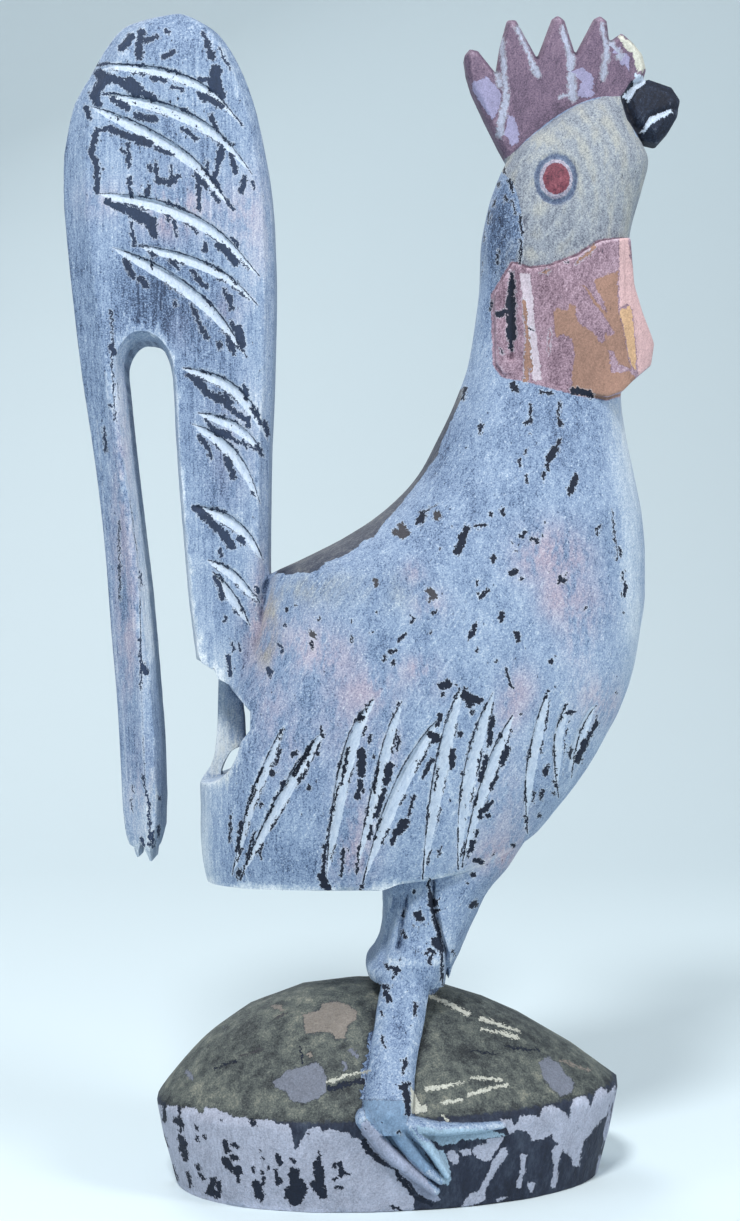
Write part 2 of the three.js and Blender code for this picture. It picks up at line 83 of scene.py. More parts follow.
NOTCH = [
    (-85, 156.5), (-65.5, 156.5), (-58, 158.4), (-55.3, 161.2), (-53.3, 163.5), (-50.6, 169), (-49.4, 173.7),
    (-45.9, 178), (-45.9, 185.1), (-51.2, 190.4), (-55.1, 194.8), (-59.4, 197), (-60.6, 200), (-64.6, 202.6),
    (-85, 203.4)]
TAIL_LEFT = [
    (125, -91.8), (131.7, -96.1), (145.2, -98.1), (160.6, -98.9), (186.3, -100.3), (214.8, -102.7),
    (249.6, -105.4), (272.6, -107.9), (293.5, -110.8), (317.7, -114.5), (342.6, -117.5), (359.2, -119.3),
    (374.3, -120.7), (389.7, -121.7), (400.8, -121.7), (413.8, -119.9), (425.3, -117.1), (434.8, -111.6),
    (445.5, -105.6), (455.4, -98.1), (459.7, -88.2), (461.3, -79.5)]
TAIL_RIGHT = [
    (125, -40), (240.5, -40), (282.1, -39.6), (312.5, -38.4), (350.5, -37.6), (378.2, -38.4), (395.6, -40),
    (406.3, -41.9), (419.8, -44.7), (432, -48.7), (443.5, -54.2), (451.8, -60.1), (457.7, -67.7), (461.3, -74.5)]
SLOT = [
    (-85.1, 110), (-85.1, 126.6), (-82.2, 138), (-81.8, 150), (-82.7, 175.6), (-85.1, 205.7),
    (-87.4, 232), (-90.3, 256), (-93.6, 283.6), (-96.2, 308.6), (-97.2, 320), (-94.6, 327.4),
    (-90, 330.6), (-85.2, 330), (-80.8, 325.6), (-78, 316), (-76.8, 293.5),
    (-75.6, 274.5), (-74, 255.6), (-71.6, 227.9), (-68.6, 204.6), (-64.6, 202.6),
    (-60.6, 200), (-59.4, 197), (-55.1, 194.8), (-51.2, 190.4), (-30, 186), (-30, 110)]
# Splintered end of the hanging feather: what lies below this line on the near sheet is gone.
SPLINTERS = [(118, 836), (123, 838), (128, 846), (132.5, 848), (134, 860), (138.5, 858), (140, 843), (143, 846),
             (145.5, 854), (147, 852), (148.5, 863), (152, 862), (153, 847), (155, 846), (156, 858), (158, 855),
             (160, 838), (166, 836), (166, 880), (118, 880)]
STRUT = [   # z, back, front
    (150, -67, -62), (156.5, -67, -60.5), (162, -63.7, -58.8), (167.5, -62, -55.6), (171, -61.6, -50.2),
    (179, -61, -50.4), (188, -60.8, -51.2), (203, -60.5, -49)]
COMB_LINE = [
    (56, 400), (51.2, 408.6), (45.6, 419.8), (40.4, 431), (38.3, 438), (37.4, 444.5), (39.6, 447.2),
    (43, 446.4), (50, 437.6), (51.8, 449), (54.4, 458.6), (58, 458.8), (66.4, 443.6), (72.2, 459), (74.6, 460.6),
    (77.4, 458.6), (81.6, 445.2), (88.8, 459), (91.4, 460.4), (94.2, 458.4), (95.2, 450.2), (100, 453.6),
    (104.4, 449.8), (108.3, 445), (109.8, 439), (108.6, 434.4), (104.3, 431.6), (100.5, 420), (82, 412)]
BEAK_LINE = [
    (110.7, 435), (119.9, 431.8), (123.3, 426.6), (122.2, 420.2), (119.1, 414.8), (114.3, 409.4),
    (107.5, 411), (102, 418), (100, 427), (103.9, 432.8)]
MOUTH = [(124, 424), (111, 419.6), (107.5, 415)]
WATTLE_LINE = [
    (101.9, 369.8), (103.5, 351.4), (107.5, 340), (112.6, 329.4), (111, 320.7), (103.5, 314.4),
    (98.4, 309.3), (92.1, 306.6), (80.3, 307.7), (63, 312.5), (51.6, 315.2), (48.8, 319.9), (48.4, 347.5),
    (55.5, 358.9), (62, 356.3), (69.7, 357.3), (80.3, 361.3), (89.3, 367.2)]
WATTLE = [(300, 30, 113, 27.5), (330, 30, 115, 27.3), (350, 34, 111, 26.4), (376, 34, 110, 25.4)]
TOES = [    # centre line on the mound's side wall, half width at the start and at the tip
    ([(-2, 36.5), (5.5, 25.3), (15.4, 15.7), (24.3, 7.6)], 3.4, 1.7),
    ([(7.4, 38), (12.9, 27.1), (19.9, 17.6), (26.5, 11.5)], 3.6, 1.5),
    ([(13.5, 35), (22.1, 24.6), (28.7, 13.5)], 2.6, 1.3),
    ([(12.5, 34.6), (25.7, 31.9), (38.6, 31.2), (49.6, 31.4)], 3.0, 1.5)]
# Gouges: centre line and greatest width. The tail's are crescents, the wing's long feathers.
TAIL_GOUGES = [
    ([(-106.9, 437.3), (-84.2, 434.9), (-65.4, 428.3), (-49.7, 413.4)], 3.8),
    ([(-104.1, 425.9), (-78, 419.5), (-60, 409.5), (-46.2, 394.6)], 4.8),
    ([(-109.2, 420.8), (-90, 412), (-70, 399.5), (-53.6, 380.5)], 4.8),
    ([(-106.1, 386.8), (-83, 382.3), (-62, 372.5), (-43.1, 354.3)], 5.0),
    ([(-90.4, 366.4), (-73.2, 361.7), (-57.9, 355.1), (-43.9, 343.3)], 4.0),
    ([(-100.6, 365.6), (-80, 355), (-62, 341), (-48.2, 323)], 5.0),
    ([(-73.2, 318.6), (-57.9, 313.2), (-47, 303.4), (-39.9, 290.1)], 4.4),
    ([(-67.3, 301), (-54.4, 296.7), (-46.2, 290.1), (-41.5, 283.8)], 3.8),
    ([(-69.3, 296.7), (-57.9, 289.3), (-49.7, 279.5), (-43.1, 265.8)], 4.4),
    ([(-69.7, 264.6), (-57.9, 260.7), (-47.8, 252.5), (-41.5, 242.7)], 4.4),
    ([(-63.4, 243.5), (-54.4, 238.4), (-47, 230.6), (-43.1, 227)], 3.6),
    ([(-61.5, 238.8), (-54.4, 229.4), (-47, 218)], 3.8)]
WING_GOUGES = [
    ([(-32.5, 180), (-37.8, 167.6), (-44.2, 152.4), (-51.8, 124.5)], 3.4),
    ([(-17.4, 178.5), (-26, 165), (-36, 148), (-48.8, 122.9)], 4.6),
    ([(1.5, 190.2), (-4.5, 180), (-10.5, 160), (-16.3, 123.7)], 5.4),
    ([(12.1, 189.5), (7.9, 177.8), (1.5, 153), (-5.3, 125.6)], 4.2),
    ([(26.1, 183.4), (16, 167), (7, 148), (-2.6, 121.4)], 5.4),
    ([(34, 194.4), (29.1, 176.3), (24, 150), (20, 122.9)], 5.2),
    ([(46.5, 192.9), (40.8, 176.3), (35.5, 152), (33.3, 126.4)], 5.0),
    ([(53.7, 184.2), (47.3, 169.1), (40.5, 149), (34.8, 127.1)], 4.4),
    ([(67.3, 193.7), (63.1, 176.3), (60.1, 158.5), (59.4, 140)], 4.4),
    ([(74.5, 188.7), (71.1, 172.9), (71.1, 153.5)], 4.2),
    ([(85.5, 188), (80.5, 176.3), (76, 161)], 4.2)]

# ---- where the paint is lost or changes ------------------------------------------------
# Places are given on two sheets, one for each side of the bird, as someone standing EYE_Y mm in
# front of its middle sees it: 1936 units to the radian, u to the right from 370, v down from 610.
EYE_Y, EYE_Z, UNIT, U0, V0 = 774.0, 223.9, 1936.0, 370.0, 610.0

(DARK, GREY, WHITE, LILAC, SKIN, ORANGE, FACET_HIGHLIGHT, ROSE, MAUVE, TOE_M, TOE_B, TOE_L, TAN, DUSK, CREAM, BROWN, PEARL,
 BONE) = range(18)
KIND_COLOURS = [
    (20, 30, 48), (42, 56, 80), (184, 198, 216), (144, 142, 174), (150, 118, 104), (196, 162, 128),
    (200, 168, 170), (146, 116, 128), (164, 170, 188), (150, 158, 180), (116, 142, 170), (152, 178, 198),
    (128, 122, 116), (112, 118, 132), (190, 192, 182), (66, 66, 72), (158, 164, 184), (190, 180, 192)]
KINDS = 20

# Flakes on the tail: u0, v0, u1, v1, radius.
TAIL_FLAKES = [
    (131,36,122,48,4),(141,32,139,55,4),(147,40,157,36,2.5),(166,30,169,32,2),(163,56,174,51,2.5),
    (203,33,207,42,2.2),(207,42,212,57,3),(216,70,214,88,6),(200,78,206,80,3),(219,85,222,96,3.5),
    (99,73,108,79,5),(108,76,122,82,4),(130,84,137,90,7),(143,93,154,98,3.5),(101,83,94,95,5),
    (94,95,98,103,4),(86,107,90,118,2.5),(113,98,128,108,3),(136,115,155,119,3),(153,77,165,81,2.5),
    (172,86,182,89,2),(199,93,205,100,3),(207,96,221,106,3),(211,115,217,128,2.5),
    (97,130,91,152,3),(91,152,97,165,3),(97,165,97,192,2.8),(98,130,110,127,2.5),(112,130,130,136,3),
    (130,136,150,143,4),(128,143,129,166,2),(122,148,124,153,1.5),(103,168,103,168,1.8),
    (156,148,172,154,2.2),(156,163,157,180,2.2),(157,180,172,182,3),(172,182,178,176,2.5),
    (171,166,171,178,1.5),(149,165,151,169,1.5),(222,148,218,165,3.5),(218,165,214,180,2.5),
    (216,182,221,190,2),(231,155,236,172,2.2),(182,128,196,138,2.5),(207,160,207,170,1.3),
    (196,176,206,186,3),(198.5,184,199,208,2),(212,193,219,200,2),(129,178,131,196,2),
    (148,187,147,194,2.5),(245,178,241,191,3),(252,181,254,187,1.5),(107,201,117,206,3.5),
    (117,206,135,213,4.5),(133,212,152,222,6),(150,222,154,234,4),(131,222,134,244,1.8),
    (168,219,168,219,1.8),(174,220,176,236,1.8),(192,226,196,232,1.5),(205,243,205,250,3),
    (218,245,226,250,4),(226,250,235,262,4),(232,236,237,244,2),(125,261,133,275,3),
    (140,278,146,285,3),(151,253,154,255,2),(151,259,152,267,1.5),(170,260,178,267,1.8),
    (192,271,202,282,2.2),(202,282,208,288,2),(224,289,227,298,2),(229,297,232,308,2.8),
    (232,322,235,330,2),(238,328,242,345,4),(191,304,198,318,1.8),(199,322,207,337,2.5),
    (219,343,220,347,2.5),(228,338,234,352,2.8),(111,345,114,352,2.8),(104,428,106,451,1.5),
    (176,301,175,305,1.5),(188,375,197,382,2.5),(197,380,207,392,4),(213,395,222,400,4),
    (222,400,231,408,3),(225,394,230,402,2.5),(234,412,248,420,2.8),(248,418,248,424,2.5),
    (245,387,246,399,2.2),(252,408,260,422,2.2),(265,422,267,434,2.2),(205,419,214,430,2),
    (218,432,228,434,4),(230,437,240,442,1.8),(243,440,247,447,1.8),(257,446,262,454,2),
    (199,436,208,448,2.5),(208,448,211,458,2),(227,458,230,462,3),(228,462,233,476,3),
    (193,507,200,511,2.5),(200,511,208,518,4.5),(212,523,222,532,4),(222,532,231,545,4.5),
    (240,538,243,543,3),(215,576,218,583,2),(219,583,223,597,3),(256,587,259,592,2),
    (220,549,221,556,1.5),(225,617,226,621,1.8),(232,643,234,649,1.8),(228,656,229,664,2.2),
    (229,664,230,674,2),(268,668,270,674,2.5),(278,643,282,651,1.3),(285,625,285,625,1.8),
    (219,47,230,70,1.2),(111,310,113,345,0.8),(112,352,115,420,0.7),(119,520,120,600,0.8),
    (140,640,141,690,0.9),(140,570,142,585,0.8),(143,775,148,800,1.0),(149,800,150,845,1.2),
    (132,785,134,792,1.2),(131,797,133,812,0.8),(159,796,160,799,1.2),(158,826,160,836,1.8),
    (152,832,154,850,1.6),(141,838,144,845,1.6),(238,643,240,650,1.2),(143,665,146,672,3.2),
    (110,404,111,406,1.2)]
# Drying cracks down the hanging feather.
FEATHER_LINES = [
    (115,352,117,380,-0.2),(117,380,119,400,0.1),(119,402,123,450,-0.1),(123,456,130,500,-0.2),(130,500,134,530,0.2),
    (134,532,137,550,0.4),(137,552,140,600,0.0),(140,600,141,655,0.4),(141,680,143,730,0.0),(143,735,145,775,0.2),
    (97,420,101,470,-0.5),(102,480,106,540,-0.5),(112,600,118,680,-0.4),(122,700,127,780,-0.4),(105,372,108,398,-0.4)]
# Flakes on the wing and the body.
BODY_FLAKES = [
    (283,729,279,739,1),(263,768,257,781,1.5),(256,789,245,815,1),(241,822,238,850,1.8),(231,815,230,840,1.2),
    (280,750,276,762,1.3),(272,772,272,772,2.8),(261,804,261,804,2.5),(313,742,294,774,2),(285,781,283,785,2.5),
    (278,793,265,820,1.2),(255,832,247,857,1.2),(240,869,238,875,2),(318,753,318,753,2.5),(308,764,308,764,2.5),
    (306,770,300,781,2.2),(309,787,309,787,2.5),(292,755,296,752,2),(321,727,323,737,1.5),(261,851,261,857,1.2),
    (359,719,363,717,2.5),(366,710,372,700,1.2),(349,748,341,783,1.8),(338,786,333,810,1.2),(331,815,327,845,1),
    (325,846,322,884,2),(322,877,327,886,4.5),(362,752,361,773,4.5),(361,782,357,796,3),(364,791,364,791,1.5),
    (371,735,369,742,1.3),(343,848,341,876,1.3),(348,850,348,850,1.3),(398,703,398,703,2),(399,735,397,750,1.3),
    (389,765,386,782,4),(384,790,376,816,2.8),(371,826,369,838,2),(378,765,374,792,1.5),(368,806,364,828,1),
    (359,846,357,872,1.2),(374,757,374,757,2),(440,715,438,724,2.5),(430,734,437,738,4),(433,741,433,741,3),
    (432,760,423,776,2.5),(414,796,409,815,1.8),(405,822,396,832,4.5),(396,832,392,843,2.5),(416,761,416,761,1.8),
    (362,884,362,889,1.8),(438,768,434,790,1.2),(452,750,452,765,3.2),(460,734,460,734,3),(463,773,463,773,2),
    (441,846,439,855,1.2),(442,685,449,683,4),(443,694,443,694,2),(456,685,456,685,1.5),(465,695,470,700,4.5),
    (464,696,479,700,4),(470,704,470,704,4),(465,688,465,688,2),(472,712,472,712,2.5),(493,718,489,744,2.5),
    (486,757,480,780,2.8),(511,731,511,731,1.5),(507,748,502,762,3.2),(497,775,491,788,2),(492,802,481,812,3),
    (481,812,480,816,2.5),(488,815,488,815,2.5),(478,830,475,836,1.5),(473,842,470,850,2.8),(475,860,482,862,2.5),
    (493,854,493,854,1.3),(514,845,514,845,2.5),(547,765,545,775,2),(542,790,541,799,1.5),(539,815,539,815,1.8),
    (525,828,525,828,1.3),(568,712,573,712,2.2),(569,721,569,721,1.3),(571,748,570,757,1.3),(554,781,554,781,1.8),
    (554,793,554,793,1.5),(597,722,586,741,2.2),(586,741,577,760,3.2),(551,661,551,661,3),(506,668,512,687,1.5),
    (477,650,477,650,1.8),(496,661,496,661,1.5),(616,692,616,692,1.5),(521,714,521,714,1.3),
    # neck and upper body
    (465,387,463,398,1.8),(481,425,480,432,1.8),(513,385,516,388,3),(530,404,531,418,1.5),(530,420,526,423,2),
    (530,433,530,433,1.3),(527,449,525,453,1),(519,459,521,465,1.7),(560,402,558,418,0.9),(559,420,562,425,1.6),
    (560,439,556,449,1.7),(555,449,549,458,4.2),(547,460,547,469,1.3),(576,477,570,490,3.2),(571,488,569,493,2),
    (544,472,544,480,1.4),(526,475,527,482,1.2),(502,509,503,512,2.2),(491,513,491,515,2),(476,526,485,524,2),
    (467,527,459,550,3),(462,535,457,552,3),(436,504,424,512,1),(422,512,418,522,2),(424,514,422,521,2.4),
    (544,522,544,522,1.2),(521,536,525,532,2),(532,538,537,541,2.2),(543,535,543,535,1),(512,543,512,543,1.2),
    (517,550,517,550,1),(598,528,601,524,1.3),(598,530,597,534,1.6),(494,556,493,560,1.8),(515,570,511,573,3),
    (521,578,523,577,1.5),(566,573,565,573,1),(561,577,564,581,2.6),(559,582,560,579,1.5),(478,580,477,585,1.6),
    (488,589,480,597,1.7),(478,593,478,593,1.4),(502,613,501,619,2.4),(475,625,470,637,2.6),(517,633,518,640,2.4),
    (620,547,621,556,0.9),(616,559,616,559,1),(623,572,622,579,1.4),(625,584,624,595,2.2),(624,612,624,612,1),
    (585,610,587,606,0.9),(612,510,615,540,0.7),(616,540,617,560,0.6),(432,614,437,610,1),(431,632,431,632,1),
    (452,526,452,526,1),(441,548,440,549,1),(556,655,556,655,1.2),(413,617,411,622,1.4),(371,633,373,632,1.4),
    (384,660,386,656,1.5),(389,652,396,650,1.4),(393,664,394,660,1.3),(398,640,406,634,1.6),(376,612,376,612,1.2),
    (350,634,352,642,0.9),(351,620,351,620,1),(311,641,312,647,0.9),(287,608,287,611,1.3),(295,605,295,605,1),
    (318,619,319,617,0.9),
    # thigh and underside
    (429,878,430,892,1.2),(430,890,431,900,1.8),(431,902,435,902,3.6),(432,906,435,920,1.7),(435,920,439,934,2.0),
    (438,935,442,950,2.6),(442,950,442,968,1.8),(442,968,443,984,1.6),(434,940,438,948,2.8),(430,950,433,953,2.4),
    (431,955,430,964,1.5),(427,953,426,953,2),(415,890,415,892,1.6),(418,914,421,918,3.8),(436,910,438,910,1.8),
    (403,932,405,936,2),(404,910,403,916,1.5),(414,925,414,925,1),(386,964,387,966,1.6),(391,967,397,970,2.6),
    (395,972,399,970,2.6),(393,977,394,977,1.8),(377,984,388,987,1.8),(384,986,385,996,1.6),(386,992,389,1000,2.6),
    (473,874,473,874,2.3),(472,905,475,904,3),(475,902,476,899,1.3),(467,882,467,882,1.2),(453,950,455,955,1),
    (381,1011,382,1014,1.4),(382,1036,383,1042,1.5),(383,1042,387,1047,1.2),(416,1003,415,1014,1.7),
    (401,1060,401,1060,1.2),(406,1060,404,1068,2),(402,1068,403,1072,1.6),(400,1086,408,1084,2.4),
    (404,1086,408,1100,3.4),(407,1100,408,1113,2.6),(398,1132,401,1133,1)]
# Flakes in the paint of the side wall.
WALL_FLAKES = [
    (164,1105,165,1120,2.2),(162,1136,166,1146,2.6),(163,1148,170,1168,1.2),(172,1165,176,1178,1.8),
    (179,1107,181,1130,1.6),(176,1120,181,1124,3.2),(180,1137,184,1143,3.4),(182,1146,186,1158,3),
    (188,1172,191,1186,1.8),(196,1125,197,1129,1.6),(197,1136,197,1139,1.6),(204,1135,205,1139,1.2),
    (198,1165,199,1169,2.4),(200,1174,204,1178,1.8),(224,1141,227,1151,2.4),(232,1144,238,1146,2),
    (225,1160,231,1168,3.6),(232,1157,236,1158,2.6),(236,1168,239,1172,3.6),(237,1174,238,1180,1.8),
    (221,1120,221,1120,1.3),(213,1180,211,1190,3.6),(219,1182,219,1194,2.6),(208,1192,218,1195,3.2),
    (252,1120,253,1124,2.4),(261,1150,261,1151,1.2),(262,1157,263,1159,1.2),(253,1168,253,1172,1.8),
    (262,1171,262,1172,1.6),(268,1166,268,1168,1.4),(278,1156,280,1162,2.6),(276,1170,278,1184,2),
    (278,1176,281,1182,1.6),(263,1177,264,1183,1.5),(256,1184,260,1196,4.4),(254,1186,262,1184,2.6),
    (291,1158,294,1161,1.6),(292,1169,297,1170,2.4),(294,1176,296,1200,5.4),(290,1192,294,1200,6),
    (300,1182,304,1190,4),(299,1198,303,1188,4),(319,1152,319,1162,1.6),(318,1164,320,1182,4.6),
    (314,1184,322,1194,4.4),(322,1192,324,1188,3),(333,1166,340,1163,1.8),(340,1164,342,1174,3),
    (344,1172,349,1174,1.6),(334,1178,337,1178,1.6),(335,1187,341,1187,2),(308,1133,309,1134,0.8),
    (364,1142,369,1150,3.2),(374,1156,379,1158,1.9),(396,1170,400,1178,2.4),(402,1180,412,1192,2.2),
    (414,1196,432,1204,1.6),(391,1205,400,1210,1.4),(176,1178,178,1180,1.2)]
# Black splits in the wattle's side.
WATTLE_FLAKES = [
    (511,273,513,282,2.4),(512,282,510,300,3.2),(511,300,511,318,4.4),(511,318,512,336,4.6),(511,336,511,349,1.8),
    (505,312,498,313,3.2),(501,349,502,353,1),(513,385,516,390,3.2),(541,392,553,393,1.4),(574,390,589,393,3.6),
    (586,393,592,396,2.4),(566,262,568,261,0.9),(542,272,546,270,1),(529,327,534,330,0.9),(527,310,527,310,1)]
COMB_EDGES = [
    (501.7,40,506.5,96,2.4,PEARL),(506.5,96,499,134,3,PEARL),(517,27,533,63,1.8,PEARL),(533,63,538,74,2.8,PEARL),
    (562,26,570,56,2,PEARL),(570,56,573,97,3.6,PEARL),(602,24,607,50,1.8,PEARL),(607,50,603,78,2.6,PEARL),
    (560,96,573,94,1.6,PEARL),(497,74,500,84,2.4,PEARL),(528,52,533,62,1,PEARL),(612,44,620,56,3,PEARL)]
NAPE_FLAKES = [
    (488,187,490,196,1.2),(497,180,499,186,1.5),(510,180,512,190,1.6),(505,196,506,200,1.2),(489,210,488,222,1),
    (520,215,522,235,1.2),(521,240,520,262,1.2),(499,250,497,262,1),(492,300,490,310,0.8),(482,262,480,275,0.8),
    (512,200,516,214,0.8),(503,166,505,172,1.4),(494,200,493,206,0.9),(484,232,484,240,0.8)]
MOUND_SLIVERS = [
    (431,996,444,1001,1.8,CREAM),(444,1001,468,1013.5,2.4,CREAM),(481,1018,500,1024,2,CREAM),
    (500,1024,519,1031,1.4,CREAM),(481,1028,500,1032,1.4,CREAM),(500,1032,517.5,1036.7,2,CREAM),
    (426.6,1088.5,449,1085,2.2,CREAM),(449,1084,462,1082,1,CREAM),(471,1077,501.5,1079,1.6,CREAM),
    (468,1094,488,1089,1.8,CREAM),(488,1088,508,1084.5,1.4,CREAM),(442.5,1102,461.6,1099,1.8,CREAM),
    (327,1082,350,1074,1.4,CREAM),(350,1074,368,1071,1,CREAM),(443,1116,449,1121,1.4,CREAM),
    (187,1072,192,1077,2.4,DUSK),(274,1005,281,1008,2.4,TAN),(221,1021,223,1025,2,DUSK),(351,1049,357,1055,2.6,DUSK),
    (344,1062,345,1068,2,DUSK),(309,1053,311,1055,2,TAN),(330,1088,362,1080,2.4,DARK),(300,1046,303,1062,0.9,DARK),
    (276,1018,288,1012,0.8,BROWN),(240,1056,262,1049,0.8,BROWN),(505,1046,540,1050,0.9,DARK),
    (560,1060,590,1070,1.2,TAN),(470,1050,496,1054,0.8,DARK),(215,1068,236,1060,0.9,DARK)]
WATTLE_EDGE = [(578,262,594,246,1.6,SKIN),(541,272,550,270,1.2,SKIN),(550,330,549,352,1.0,ROSE),
               (524,300,531,370,1.8,SKIN),(527,345,526,380,2.2,SKIN)]
